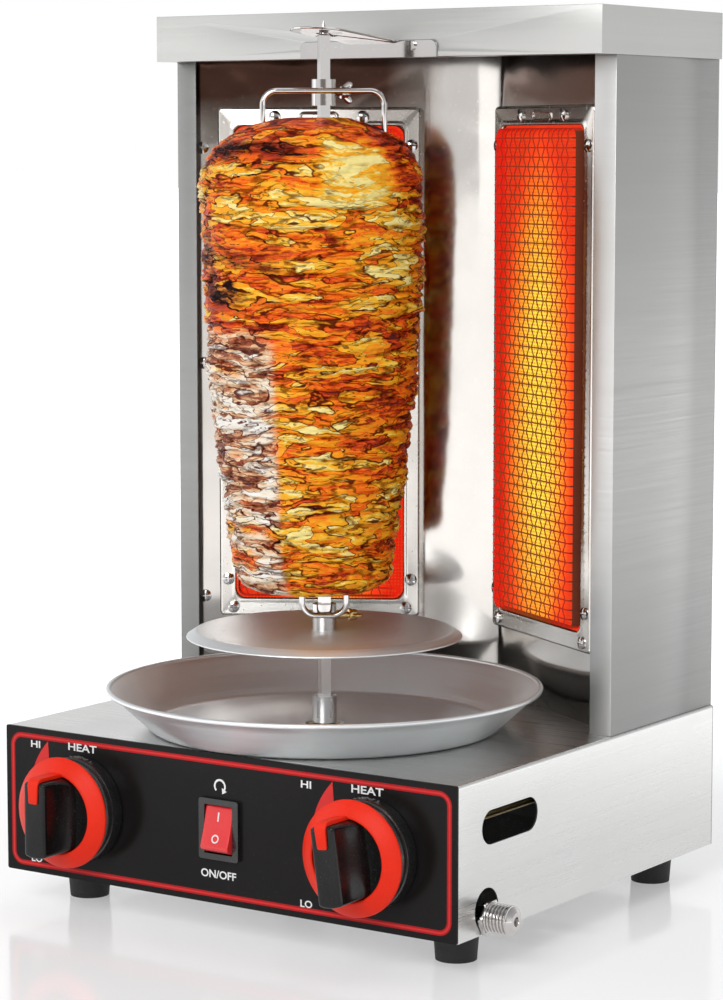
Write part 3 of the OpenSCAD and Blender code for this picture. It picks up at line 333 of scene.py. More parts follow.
class Graph:
    """A node tree with short calls; a value may be a socket or a constant."""

    def __init__(self, tree: bpy.types.NodeTree) -> None:
        """Wraps a tree."""
        self.tree = tree

    def add(self, kind: str, sockets: Mapping[Any, Any] | None = None, **settings: Any) -> Node:
        """Adds a node, sets its options and feeds its sockets.

        Args:
            kind: node type without the word ShaderNode.
            sockets: input name or number to a socket or a constant.
            **settings: options of the node.

        Returns:
            The node.
        """
        node = self.tree.nodes.new("ShaderNode" + kind)
        for key, value in settings.items():
            setattr(node, key, value)
        self.feed(node, sockets or {})
        return node

    def feed(self, node: Node, sockets: Mapping[Any, Any]) -> None:
        """Sets constants on a node's inputs and links what changes over the surface.

        Args:
            node: the node.
            sockets: input name or number to a socket or a constant.
        """
        for key, value in sockets.items():
            if isinstance(value, Socket):
                self.tree.links.new(value, node.inputs[key])
            else:
                node.inputs[key].default_value = value

    def math(self, operation: str, a: Any, b: Any = 0.0, c: Any = 0.0) -> Socket:
        """One step of arithmetic."""
        return self.add("Math", {0: a, 1: b, 2: c}, operation=operation).outputs[0]

    def total(self, a: Any, *terms: Any) -> Socket:
        """Sum of numbers.

        Args:
            a: the first number.
            *terms: the others.

        Returns:
            The sum's socket.
        """
        for term in terms:
            a = self.math("ADD", a, term)
        return a

    def product(self, a: Any, *terms: Any) -> Socket:
        """Product of numbers.

        Args:
            a: the first number.
            *terms: the others.

        Returns:
            The product's socket.
        """
        for term in terms:
            a = self.math("MULTIPLY", a, term)
        return a

    def swing(self, value: Any, middle: float, share: float) -> Socket:
        """How far a number lies over a middle, times a share."""
        return self.product(self.math("SUBTRACT", value, middle), share)

    def vector(self, operation: str, a: Any, b: Any = (0, 0, 0)) -> Socket:
        """One step of vector arithmetic."""
        return self.add("VectorMath", {0: a, 1: b}, operation=operation).outputs[0]

    def measure(self, operation: str, a: Any, b: Any = (0, 0, 0)) -> Socket:
        """One step of vector arithmetic whose result is a number."""
        return self.add("VectorMath", {0: a, 1: b}, operation=operation).outputs["Value"]

    def parts(self, vector: Any) -> Any:
        """The x, y and z of a vector."""
        return self.add("SeparateXYZ", {0: vector}).outputs

    def mix(self, share: Any, a: Any, b: Any) -> Socket:
        """A colour between two.

        Args:
            share: 0 for a, 1 for b.
            a: colour or socket.
            b: colour or socket.

        Returns:
            The colour's socket.
        """
        rgba = [v if isinstance(v, Socket) else (*v, 1.0) for v in (a, b)]
        node = self.add("Mix", {0: share, 6: rgba[0], 7: rgba[1]}, data_type="RGBA")
        return node.outputs[2]

    def blend(self, share: Any, a: Any, b: Any) -> Socket:
        """A number between a and b."""
        return self.add("Mix", {0: share, 2: a, 3: b}, data_type="FLOAT").outputs[0]

    def span(
        self, value: Any, low: float, high: float, to_low: float = 0.0, to_high: float = 1.0
    ) -> Socket:
        """Maps a number from low to high to another range, held at its ends."""
        sockets = {"Value": value, 1: low, 2: high, 3: to_low, 4: to_high}
        return self.add("MapRange", sockets, clamp=True).outputs[0]

    def ramp(self, value: Any, stops: Sequence[tuple[float, Colour]]) -> Socket:
        """A colour ramp.

        Args:
            value: where on the ramp, 0 to 1.
            stops: place and colour of each stop, in order.

        Returns:
            The colour's socket.
        """
        node = self.add("ValToRGB", {0: value})
        ramp = node.color_ramp
        while len(ramp.elements) < len(stops):
            ramp.elements.new(0.5)
        for element, (place, colour) in zip(ramp.elements, stops):
            element.position = place
            element.color = (*colour, 1)
        return node.outputs[0]

    def noise(
        self, vector: Any, scale: float, detail: float = 2.0, rough: float = 0.5, warp: float = 0.0
    ) -> Socket:
        """Fractal noise from 0 to 1."""
        sockets = {"Scale": scale, "Detail": detail, "Roughness": rough, "Distortion": warp}
        return self.add("TexNoise", {"Vector": vector, **sockets}).outputs[0]

    def place(self, vector: Any, move: Sequence[float] = (0, 0, 0), turn: float = 0.0) -> Socket:
        """Mapping node that centres a pattern and turns it about z."""
        sockets = {"Vector": vector, "Location": tuple(move), "Rotation": (0, 0, turn)}
        return self.add("Mapping", sockets).outputs[0]

    def bump(self, height: Any, strength: float, distance: float = 0.0004) -> Socket:
        """A normal from a height; the distance is in metres."""
        sockets = {"Height": height, "Strength": strength, "Distance": distance}
        return self.add("Bump", sockets).outputs[0]

    def group(self, tree: bpy.types.NodeTree, sockets: Mapping[str, Any]) -> Any:
        """Places a shared group and feeds it.

        Args:
            tree: the group.
            sockets: input name to a socket or a constant.

        Returns:
            The outputs of the placed group.
        """
        node = self.add("Group")
        node.node_tree = tree
        self.feed(node, sockets)
        return node.outputs


def shared_group(
    name: str, inputs: Mapping[str, tuple[str, Any]], outputs: Sequence[str]
) -> tuple[bpy.types.NodeTree, Graph | None, Node | None, Node | None]:
    """Starts a shader group, or finds it.

    Args:
        name: name of the group.
        inputs: socket name to its kind and first value.
        outputs: names of the numbers that it puts out.

    Returns:
        The tree, its Graph, the input node and the output node; the last three None if it was there.
    """
    if name in bpy.data.node_groups:
        return bpy.data.node_groups[name], None, None, None
    tree = bpy.data.node_groups.new(name, "ShaderNodeTree")
    for key, (kind, value) in inputs.items():
        socket = tree.interface.new_socket(key, in_out="INPUT", socket_type="NodeSocket" + kind)
        if kind == "Float":
            socket.default_value = value
    for key in outputs:
        tree.interface.new_socket(key, in_out="OUTPUT", socket_type="NodeSocketFloat")
    return tree, Graph(tree), tree.nodes.new("NodeGroupInput"), tree.nodes.new("NodeGroupOutput")


def sheet_grain() -> bpy.types.NodeTree:
    """Straight brushing: noise drawn out along the sheet, level on walls and sideways on flat tops.

    Returns:
        The group, with outputs Tone and Height.
    """
    inputs = {
        "Vector": ("Vector", None),
        "Normal": ("Vector", None),
        "Along": ("Float", 6.0),
        "Across": ("Float", 700.0),
    }
    tree, g, given, put = shared_group("sheet_grain", inputs, ["Tone", "Height"])
    if g is None:
        return tree
    xyz = g.parts(given.outputs["Vector"])
    up = g.math("ABSOLUTE", g.parts(given.outputs["Normal"])[2])
    along, across = given.outputs["Along"], given.outputs["Across"]
    x, y, z = (g.product(xyz[k], along) for k in range(3))
    wall = g.add("CombineXYZ", {0: x, 1: y, 2: g.product(xyz[2], across)}).outputs[0]
    top = g.add("CombineXYZ", {0: x, 1: g.product(xyz[1], across), 2: z}).outputs[0]
    flat = g.math("GREATER_THAN", up, 0.7)
    chosen = g.add("Mix", {0: flat, 4: wall, 5: top}, data_type="VECTOR").outputs[1]
    tree.links.new(g.noise(chosen, 1.0, 4.0, 0.65), put.inputs["Height"])
    broad = g.vector("MULTIPLY", chosen, (0.6, 0.12, 0.12))
    tree.links.new(g.noise(broad, 1.0, 2.0, 0.5), put.inputs["Tone"])
    return tree


def turned_grain() -> bpy.types.NodeTree:
    """Spun marks: noise over the distance from the axis, which is centred by the caller.

    Returns:
        The group, with outputs Tone and Height.
    """
    inputs = {"Vector": ("Vector", None), "Across": ("Float", 900.0)}
    tree, g, given, put = shared_group("turned_grain", inputs, ["Tone", "Height"])
    if g is None:
        return tree
    xyz = g.parts(given.outputs["Vector"])
    squares = g.total(g.product(xyz[0], xyz[0]), g.product(xyz[1], xyz[1]))
    reach = g.product(g.math("SQRT", squares), given.outputs["Across"])
    rise = g.product(xyz[2], given.outputs["Across"])
    rings = g.add("CombineXYZ", {0: reach, 1: rise, 2: 0.0}).outputs[0]
    tree.links.new(g.noise(rings, 1.0, 3.0, 0.6), put.inputs["Height"])
    tree.links.new(g.noise(rings, 0.08, 2.0, 0.5), put.inputs["Tone"])
    return tree


def handled_marks() -> bpy.types.NodeTree:
    """Smudges and fine dust: cloudy patches, with small specks.

    Returns:
        The group, with outputs Smudge and Speck.
    """
    inputs = {"Vector": ("Vector", None), "Size": ("Float", 18.0)}
    tree, g, given, put = shared_group("handled_marks", inputs, ["Smudge", "Speck"])
    if g is None:
        return tree
    sized = g.vector("SCALE", given.outputs["Vector"])
    tree.links.new(given.outputs["Size"], sized.node.inputs["Scale"])
    cloud = g.noise(sized, 1.0, 5.0, 0.6, 0.4)
    tree.links.new(g.span(cloud, 0.42, 0.72), put.inputs["Smudge"])
    fine = g.noise(sized, 42.0, 2.0, 0.5)
    tree.links.new(g.span(fine, 0.62, 0.74), put.inputs["Speck"])
    return tree


def burner_field() -> bpy.types.NodeTree:
    """Heat over a burner's face: 1 in its middle and 0 at its rim.

    It falls with 1.15 |s + 0.08|^1.7 + 0.62 |h|^2.6, where s and h run from -1 to 1 across and up
    the face and the hot middle lies a little low and inwards; a noise makes it flicker.

    Returns:
        The group, with outputs Heat and Flicker.
    """
    inputs = {
        "Vector": ("Vector", None),
        "Half width": ("Float", 0.065),
        "Half height": ("Float", 0.178),
    }
    tree, g, given, put = shared_group("burner_field", inputs, ["Heat", "Flicker"])
    if g is None:
        return tree
    xyz = g.parts(given.outputs["Vector"])
    s = g.math("DIVIDE", xyz[0], given.outputs["Half width"])
    h = g.math("DIVIDE", g.total(xyz[2], 0.03), given.outputs["Half height"])
    wide = g.product(g.math("POWER", g.math("ABSOLUTE", g.total(s, 0.08)), 1.7), 1.15)
    tall = g.product(g.math("POWER", g.math("ABSOLUTE", h), 2.6), 0.62)
    flicker = g.noise(given.outputs["Vector"], 26.0, 3.0, 0.6)
    away = g.total(wide, tall, g.product(flicker, 0.25))
    tree.links.new(g.math("SUBTRACT", 1.12, away), put.inputs["Heat"])
    tree.links.new(flicker, put.inputs["Flicker"])
    return tree


def flake_lines() -> bpy.types.NodeTree:
    """Torn layers: long wavy contour lines of a noise drawn out level, and a tone for each layer.

    The lines lie where the noise times the number of layers crosses a half; a second noise makes
    them thick in places and lets them fade in others.

    Returns:
        The group, with outputs Line and Tone.
    """
    inputs = {"Vector": ("Vector", None), "Scale": ("Float", 16.0), "Layers": ("Float", 7.0)}
    tree, g, given, put = shared_group("flake_lines", inputs, ["Line", "Tone"])
    if g is None:
        return tree
    where = given.outputs["Vector"]
    pull = g.add("TexNoise", {"Vector": where, "Scale": 44.0, "Detail": 3.0}).outputs[1]
    away = g.vector("MULTIPLY", g.vector("SUBTRACT", pull, (0.5, 0.5, 0.5)), (0.020, 0.020, 0.009))
    torn = g.vector("MULTIPLY", g.vector("ADD", where, away), (1.0, 1.0, 4.0))
    phase = g.product(g.noise(torn, given.outputs["Scale"], 3.0, 0.5, 0.5), given.outputs["Layers"])
    off = g.math("ABSOLUTE", g.math("SUBTRACT", g.math("FRACT", phase), 0.5))
    thick = g.span(g.noise(where, 64.0, 3.0, 0.6), 0.36, 0.66, 0.025, 0.17)
    tree.links.new(g.span(g.math("DIVIDE", off, thick), 0.45, 1.1, 1.0, 0.0), put.inputs["Line"])
    layer = g.math("FLOOR", g.total(phase, 0.5))
    tone = g.add("TexWhiteNoise", {"W": layer}, noise_dimensions="1D").outputs[0]
    tree.links.new(tone, put.inputs["Tone"])
    return tree


# ---------- finishes


class Grain(Enum):
    """How a metal was worked."""

    SHEET = "sheet"
    TURNED = "turned"
    MIRROR = "mirror"


@dataclass(frozen=True)
class Finish:
    """What a piece is dressed in.

    Attributes:
        name: the material's name.
        slot: slot of the record that it stands for; not used here.
    """

    name: str
    slot: str

    def material(self) -> bpy.types.Material:
        """The material, made at its first use.

        Returns:
            The same material for every piece of this finish.
        """
        if self.name in bpy.data.materials:
            return bpy.data.materials[self.name]
        made = bpy.data.materials.new(self.name)
        made.use_nodes = True
        made.node_tree.nodes.clear()
        g = Graph(made.node_tree)
        coords = g.add("TexCoord").outputs
        shader = g.add("BsdfPrincipled")
        self.dress(g, shader, coords["Object"], coords["Normal"])
        out = g.add("OutputMaterial")
        made.node_tree.links.new(shader.outputs[0], out.inputs[0])
        return made

    def dress(self, g: Graph, shader: Node, where: Socket, normal: Socket) -> None:
        """Feeds the shader; each kind of finish has its own way.

        Args:
            g: graph of the material.
            shader: its Principled node.
            where: Object coordinates.
            normal: the surface's own normal.
        """
        raise NotImplementedError


@dataclass(frozen=True)
class Metal(Finish):
    """Bare metal, brushed, spun or polished.

    Attributes:
        tone: its colour.
        roughness: middle roughness.
        grain: how it was worked.
        depth: strength of the grain.
        stains: how much the smudges show.
        front: share of the tone on faces to the front, painted shade under 1 and painted light over 1.
        stain: colour of the smudges.
        low: share of the tone in the grain's dark lines.
        high: share of it in the pale ones.
    """

    tone: Colour = (0.72, 0.72, 0.73)
    roughness: float = 0.3
    grain: Grain = Grain.SHEET
    depth: float = 0.1
    stains: float = 0.1
    front: float = 1.0
    stain: Colour = (0.42, 0.39, 0.34)
    low: float = 0.90
    high: float = 1.06

    def tinted(self, g: Graph, where: Socket, colour: Socket) -> Socket:
        """The colour after what heat did to it; plain metal keeps its own."""
        return colour

    def dress(self, g: Graph, shader: Node, where: Socket, normal: Socket) -> None:
        """Grain in tone, roughness and normal, with a few handling marks.

        Args:
            g: graph of the material.
            shader: its Principled node.
            where: Object coordinates.
            normal: the surface's own normal.
        """
        smudge = g.group(handled_marks(), {"Vector": where, "Size": 14.0})[0]
        if self.grain is Grain.SHEET:
            sockets = {"Vector": where, "Normal": normal, "Along": 7.0, "Across": 620.0}
            lines = g.group(sheet_grain(), sockets)
        elif self.grain is Grain.TURNED:
            centred = g.place(where, move=-np.append(to_row([*SPIT, 0])[:2], 0))
            lines = g.group(turned_grain(), {"Vector": centred, "Across": 800.0})
        else:
            lines = g.group(handled_marks(), {"Vector": where, "Size": 9.0})
        tone, height = lines[0], lines[1]
        dark, pale = (tuple(c * f for c in self.tone) for f in (self.low, self.high))
        colour = g.mix(g.product(g.total(tone, height), 0.5), dark, pale)
        colour = g.mix(g.product(smudge, self.stains), colour, self.stain)
        # Painted light and shade: faces to the front take their tone times front.
        painted_front_mask = g.math("LESS_THAN", g.parts(normal)[1], -0.7)
        colour = g.mix(painted_front_mask, colour, g.vector("MULTIPLY", colour, (self.front,) * 3))
        colour = self.tinted(g, where, colour)
        rough = g.span(height, 0.25, 0.8, self.roughness * 0.75, self.roughness * 1.25)
        rough = g.total(rough, g.product(smudge, self.stains * 0.4))
        if self.grain is Grain.MIRROR:
            bumped = g.bump(g.noise(where, 11.0, 2.0, 0.5, 0.3), self.depth, 0.004)
        else:
            bumped = g.bump(height, self.depth)
        sockets = {"Base Color": colour, "Metallic": 1.0, "Roughness": rough, "Normal": bumped}
        g.feed(shader, sockets)


@dataclass(frozen=True)
class HeatedMetal(Metal):
    """Polished sheet with brown heat tint over the left burner.

    Attributes:
        tint: colour that the heat gave it.
        tint_z: heights in metres where the tint starts and where it is full.
        tint_x: the same to the left of the fold.
    """

    tint: Colour = (0.11, 0.038, 0.020)
    tint_z: tuple[float, float] = (0.548, 0.574)
    tint_x: tuple[float, float] = (-0.030, -0.075)

    def tinted(self, g: Graph, where: Socket, colour: Socket) -> Socket:
        """Brown grows with height over the burner, left of the fold, with a cloudy border.

        Args:
            g: graph of the material.
            where: Object coordinates.
            colour: the metal's colour.

        Returns:
            The tinted colour.
        """
        x, _, z = g.parts(where)
        cloud = g.swing(g.noise(where, 16.0, 3.0, 0.6), 0.5, 0.03)
        high, left = g.span(g.total(z, cloud), *self.tint_z), g.span(g.total(x, cloud), *self.tint_x)
        return g.mix(g.product(high, left, 0.92), colour, self.tint)


@dataclass(frozen=True)
class Moulded(Finish):
    """Moulded plastic or rubber, with a fine texture and dust.

    Attributes:
        tone: its colour.
        roughness: middle roughness.
        texture: strength of its surface texture.
        coat: weight of a clear gloss over it.
        shine: strength of its own reflection.
        dust: colour of the specks on it.
    """

    tone: Colour = (0.02, 0.02, 0.02)
    roughness: float = 0.35
    texture: float = 0.05
    coat: float = 0.0
    shine: float = 0.5
    dust: Colour = (0.5, 0.48, 0.45)

    def dress(self, g: Graph, shader: Node, where: Socket, normal: Socket) -> None:
        """Slight mottling, an eggshell texture and worn gloss.

        Args:
            g: graph of the material.
            shader: its Principled node.
            where: Object coordinates.
            normal: the surface's own normal; not used here.
        """
        smudge, speck = g.group(handled_marks(), {"Vector": where, "Size": 30.0})
        paler = tuple(min(1.0, c * 1.25 + 0.01) for c in self.tone)
        colour = g.mix(g.product(smudge, 0.35), self.tone, paler)
        colour = g.mix(g.product(speck, 0.08), colour, self.dust)
        fine = g.noise(where, 1400.0, 2.0, 0.6)
        rough = g.span(smudge, 0.0, 1.0, self.roughness, self.roughness + 0.1)
        bumped = g.bump(fine, self.texture, 0.0002)
        g.feed(shader, {"Base Color": colour, "Roughness": rough, "Normal": bumped})
        g.feed(shader, {"Coat Weight": self.coat, "Coat Roughness": 0.08})
        g.feed(shader, {"Specular IOR Level": self.shine})


@dataclass(frozen=True)
class PrintedPanel(Finish):
    """Black gloss print with a red border line.

    Attributes:
        width: width of the panel in millimetres.
        height: its height.
        inset: distance of the border from the edge.
        line: width of the border.
        corner: radius of its corners.
        black: colour of the print, and where it is worn.
        red: colour of the border at its edges, and in its middle.
    """

    width: float = 380.0
    height: float = 104.0
    inset: float = 4.2
    line: float = 3.6
    corner: float = 8.0
    black: tuple[Colour, Colour] = ((0.009, 0.008, 0.008), (0.017, 0.015, 0.014))
    red: tuple[Colour, Colour] = ((0.46, 0.014, 0.016), (0.70, 0.040, 0.040))

    def dress(self, g: Graph, shader: Node, where: Socket, normal: Socket) -> None:
        """The border is where the distance to a rounded rectangle lies within half a line.

        Args:
            g: graph of the material.
            shader: its Principled node.
            where: Object coordinates.
            normal: the surface's own normal.
        """
        xyz = g.parts(g.place(where, move=-to_row([0, 0, PANEL_Z])))
        radius = self.corner * MILLIMETRE
        half_w = (self.width / 2 - self.inset - self.line / 2) * MILLIMETRE - radius
        half_h = (self.height / 2 - self.inset - self.line / 2) * MILLIMETRE - radius
        dx = g.math("SUBTRACT", g.math("ABSOLUTE", xyz[0]), half_w)
        dz = g.math("SUBTRACT", g.math("ABSOLUTE", xyz[2]), half_h)
        ox, oz = g.math("MAXIMUM", dx, 0.0), g.math("MAXIMUM", dz, 0.0)
        outside = g.math("SQRT", g.total(g.product(ox, ox), g.product(oz, oz)))
        inside = g.math("MINIMUM", g.math("MAXIMUM", dx, dz), 0.0)
        away = g.math("ABSOLUTE", g.math("SUBTRACT", g.total(outside, inside), radius))
        band = g.span(away, self.line * 0.46 * MILLIMETRE, self.line * 0.52 * MILLIMETRE, 1.0, 0.0)
        core = g.span(away, 0.35 * MILLIMETRE, 0.9 * MILLIMETRE, 1.0, 0.0)
        smudge = g.group(handled_marks(), {"Vector": where, "Size": 12.0})[0]
        front = g.math("LESS_THAN", g.parts(normal)[1], -0.5)
        black = g.mix(g.product(smudge, 0.3), *self.black)
        colour = g.mix(g.product(band, front), black, g.mix(core, *self.red))
        rough = g.span(smudge, 0.0, 1.0, 0.2, 0.34)
        height = g.total(g.product(band, 0.6), g.noise(where, 60.0, 2.0, 0.5))
        bumped = g.bump(height, 0.06, 0.0003)
        g.feed(shader, {"Base Color": colour, "Roughness": rough, "Normal": bumped})
        g.feed(shader, {"Specular IOR Level": 0.13})


@dataclass(frozen=True)
class Glow(Finish):
    """Hot ceramic or wire on a burner.

    Attributes:
        side: -1 for the left burner, 1 for the right.
        cold: colour of what glows, unlit.
        stops: glow from the rim to the middle.
        strength: brightness of the glow.
        holes: whether the surface has the fine holes of a tile.
        lit: share of the strength with which it lights what stands round it.
        hole: colour of the holes.
        inner: glow of the wires at the fold.
        outer: glow of the wires at the far edge.
    """

    side: int = 1
    cold: Colour = (0.5, 0.2, 0.08)
    stops: tuple[tuple[float, Colour], ...] = ()
    strength: float = 1.0
    holes: bool = False
    lit: float = 0.14
    hole: Colour = (0.62, 0.06, 0.008)
    inner: Colour = (1.0, 0.012, 0.004)
    outer: Colour = (0.060, 0.006, 0.003)

    def dress(self, g: Graph, shader: Node, where: Socket, normal: Socket) -> None:
        """Glow by the heat field; a tile has fine holes, a wire is redder inwards and dark outwards.

        Args:
            g: graph of the material.
            shader: its Principled node.
            where: Object coordinates.
            normal: the surface's own normal; not used here.
        """
        middle = to_row(Burner(self.side).world(np.zeros((1, 3)))[0])
        moved = g.vector("SUBTRACT", where, tuple(middle))
        turned = g.place(moved, turn=self.side * LINING_ANGLE)
        local = g.vector("MULTIPLY", turned, (float(self.side), 1.0, 1.0))
        sockets = {"Vector": local, "Half width": 0.0635, "Half height": 0.178}
        heat, flicker = g.group(burner_field(), sockets)
        glow = g.ramp(heat, self.stops)
        if self.holes:
            flat = g.vector("MULTIPLY", local, (1, 0.02, 1))
            cells = g.add("TexVoronoi", {"Vector": flat, "Scale": 400.0, "Randomness": 0.12})
            hole = g.span(cells.outputs[0], 0.18, 0.34)
            glow = g.mix(hole, self.hole, glow)
            bumped = g.bump(hole, 0.6, 0.001)
        else:
            across = g.parts(local)[0]
            glow = g.mix(g.span(across, -0.050, -0.058), glow, self.inner)
            glow = g.mix(g.span(across, 0.0590, 0.0605), glow, self.outer)
            bumped = g.bump(g.noise(where, 900.0, 2.0, 0.5), 0.2, 0.0002)
        base = g.mix(flicker, self.cold, tuple(c * 0.6 for c in self.cold))
        g.feed(shader, {"Base Color": base, "Roughness": 0.8, "Normal": bumped})
        direct = g.add("LightPath").outputs["Is Camera Ray"]
        strength = g.blend(direct, self.strength * self.lit, self.strength)
        g.feed(shader, {"Emission Color": glow, "Emission Strength": strength})
        g.feed(shader, {"Specular IOR Level": 0.08})


@dataclass(frozen=True)
class Roast(Finish):
    """Roasted slices glazed with their own fat; reads the tones that the meat's mesh carries.

    Attributes:
        fold: painted shade in the crevices between slices.
        scorched: colour of a browned patch.
        burnt: colour of a charred one.
    """

    fold: Colour = (0.085, 0.006, 0.002)
    scorched: Colour = (0.13, 0.010, 0.003)
    burnt: Colour = (0.014, 0.004, 0.003)

    def dress(self, g: Graph, shader: Node, where: Socket, normal: Socket) -> None:
        """Golden to dark brown by tone, with painted glare, painted shade in crevices, and black char.

        Args:
            g: graph of the material.
            shader: its Principled node.
            where: Object coordinates.
            normal: the surface's own normal; not used here.
        """
        tone, char, pale, gap, clean = (
            g.add("Attribute", attribute_name=key).outputs["Fac"]
            for key in ("tone", "char", "pale", "gap", "clean")
        )
        line, layer = g.group(flake_lines(), {"Vector": where, "Scale": 15.0, "Layers": 8.0})
        hair, sheet = g.group(flake_lines(), {"Vector": where, "Scale": 31.0, "Layers": 7.0})
        fibre = g.noise(g.vector("MULTIPLY", where, (1.0, 1.0, 4.6)), 72.0, 6.0, 0.72, 1.0)
        fleck = g.noise(where, 260.0, 4.0, 0.7, 0.8)
        value = g.total(g.product(tone, 0.95), g.swing(fibre, 0.37, 1.35))
        value = g.total(value, g.swing(layer, 0.5, 0.50), g.swing(sheet, 0.5, 0.26))
        # Painted glare: where the pale mask lies, the colour comes from the whitened glare ramp.
        colour = g.mix(pale, g.ramp(value, ROAST_STOPS), g.ramp(value, GLARE_STOPS))
        # Painted shade: the crevices between slices and the lines between layers darken towards the
        # fold colour.
        lines = g.math("MAXIMUM", line, g.product(hair, 0.75))
        crevice_shade = g.span(g.total(g.product(gap, 0.75), g.product(fleck, 0.5)), 0.74, 1.10)
        kept = g.math("SUBTRACT", 0.94, g.product(clean, 0.8))
        edge = g.product(g.math("MAXIMUM", lines, crevice_shade), kept)
        colour = g.mix(edge, colour, self.fold)
        scorch = g.total(char, g.swing(fibre, 0.5, 2.0), g.swing(line, 0.45, 0.4))
        colour = g.mix(g.span(scorch, 0.24, 0.56, 0.0, 0.85), colour, self.scorched)
        burnt = g.span(scorch, 0.56, 0.74)
        colour = g.mix(burnt, colour, self.burnt)
        rough = g.blend(burnt, g.span(fibre, 0.3, 0.7, 0.28, 0.5), 0.45)
        height = g.total(fibre, g.product(fleck, 0.4), g.product(edge, -0.5))
        bumped = g.bump(height, 0.5, 0.0016)
        g.feed(shader, {"Base Color": colour, "Roughness": rough, "Normal": bumped})
        dark = g.math("MAXIMUM", edge, burnt)
        g.feed(shader, {"Coat Weight": g.span(dark, 0.0, 0.6, 0.04, 0.0), "Coat Roughness": 0.12})
        g.feed(shader, {"Specular IOR Level": g.span(dark, 0.0, 0.8, 0.14, 0.03)})


BRUSHED = Metal("brushed_sheet", "brushed", (0.36, 0.36, 0.355), 0.40, Grain.SHEET, 0.14, 0.05)
# Shaded and lit copies of the brushed sheet: painted shade on the left wall's front faces, painted
# light on the right wall's.
WALL_LEFT_FRONT_SHADED = replace(BRUSHED, name="wall_left", front=0.78)
WALL_RIGHT_FRONT_LIT = replace(BRUSHED, name="wall_right", front=1.6)
CAP_STEEL = Metal("cap_sheet", "brushed", (0.44, 0.44, 0.43), 0.36, Grain.SHEET, 0.14, 0.05)
# The base is a paler copy of the brushed sheet: painted light, standing in for its reflection of the
# white floor.
BASE_STEEL_LIT = Metal("base_sheet_lit", "brushed", (0.70, 0.70, 0.69), 0.30, Grain.SHEET, 0.10, 0.05)
LINING_TONE = (0.60, 0.57, 0.54)
LINING_STEEL = HeatedMetal("bright_lining", "bright", LINING_TONE, 0.13, Grain.MIRROR, 0.25, 0.08)
FRAME_STEEL = Metal("pressed_frame", "bright", (0.72, 0.69, 0.65), 0.27, Grain.MIRROR, 0.15, 0.18)
SPUN = Metal("spun_pan", "spun", (0.86, 0.88, 0.89), 0.46, Grain.TURNED, 0.10, 0.06)
CHROME = Metal("chromed", "chrome", (0.62, 0.60, 0.59), 0.10, Grain.MIRROR, 0.05, 0.05)
ZINC = Metal("zinc_plated", "zinc", (0.66, 0.66, 0.68), 0.28, Grain.MIRROR, 0.1, 0.12)
BRASS = Metal("machined_brass", "brass_raw", (0.72, 0.52, 0.22), 0.25, Grain.MIRROR, 0.08, 0.15)
MOTOR = Metal("motor_shell", "motor_zinc", (0.42, 0.43, 0.45), 0.35, Grain.SHEET, 0.1, 0.1)
PANEL = PrintedPanel("printed_panel", "panel_black")
BLACK = Moulded("black_moulding", "black_plastic", (0.012, 0.012, 0.012), 0.22, 0.04, 0.4)
GRIP_BLACK = Moulded("black_gloss", "black_plastic", (0.004, 0.004, 0.004), 0.14, 0.02, 0.05, 0.28)
RED = Moulded("red_moulding", "red_plastic", (0.84, 0.022, 0.003), 0.42, 0.03, 0.0, 0.22)
ROCKER_RED = Moulded("rocker_red", "red_plastic", (0.78, 0.018, 0.022), 0.2, 0.02, 0.5)
PRINT_WHITE = Moulded("print_white", "panel_black", (0.86, 0.86, 0.86), 0.4, 0.02)
PRINT_RED = Moulded("print_red", "panel_black", (0.70, 0.030, 0.028), 0.3, 0.02, 0.0, 0.25)
RUBBER = Moulded("foot_rubber", "rubber_black", (0.014, 0.014, 0.014), 0.6, 0.15)
ROAST = Roast("roast_slices", "meat")
ROAST_STOPS = (
    (0.0, (0.10, 0.008, 0.002)),
    (0.16, (0.50, 0.028, 0.003)),
    (0.32, (0.90, 0.11, 0.004)),
    (0.48, (1.0, 0.24, 0.006)),
    (0.64, (1.0, 0.37, 0.010)),
    (0.80, (1.0, 0.50, 0.022)),
    (0.92, (1.0, 0.64, 0.08)),
    (1.0, (1.0, 0.84, 0.32)),
)
# Whitened ramp for the painted glare on the meat's lower front-left flank.
GLARE_STOPS = (
    (0.05, (0.07, 0.012, 0.008)),
    (0.28, (0.46, 0.14, 0.06)),
    (0.44, (0.84, 0.52, 0.28)),
    (0.60, (0.94, 0.80, 0.62)),
    (0.85, (0.97, 0.93, 0.86)),
)
TILE_STOPS = (
    (0.0, (0.70, 0.006, 0.003)),
    (0.22, (0.92, 0.030, 0.006)),
    (0.45, (1.0, 0.17, 0.012)),
    (0.68, (1.0, 0.42, 0.03)),
    (0.92, (1.0, 0.74, 0.06)),
)
WIRE_STOPS = (
    (0.0, (0.50, 0.008, 0.003)),
    (0.3, (0.34, 0.022, 0.004)),
    (0.8, (0.20, 0.055, 0.008)),
)
TILE_COLD = (0.24, 0.08, 0.02)
WIRE_COLD = (0.12, 0.04, 0.02)


# ---------- the burner pair

LINING_ANGLE = math.radians(31.5)
LINING_STRIP = 30.5
LINING_Y = 306.5


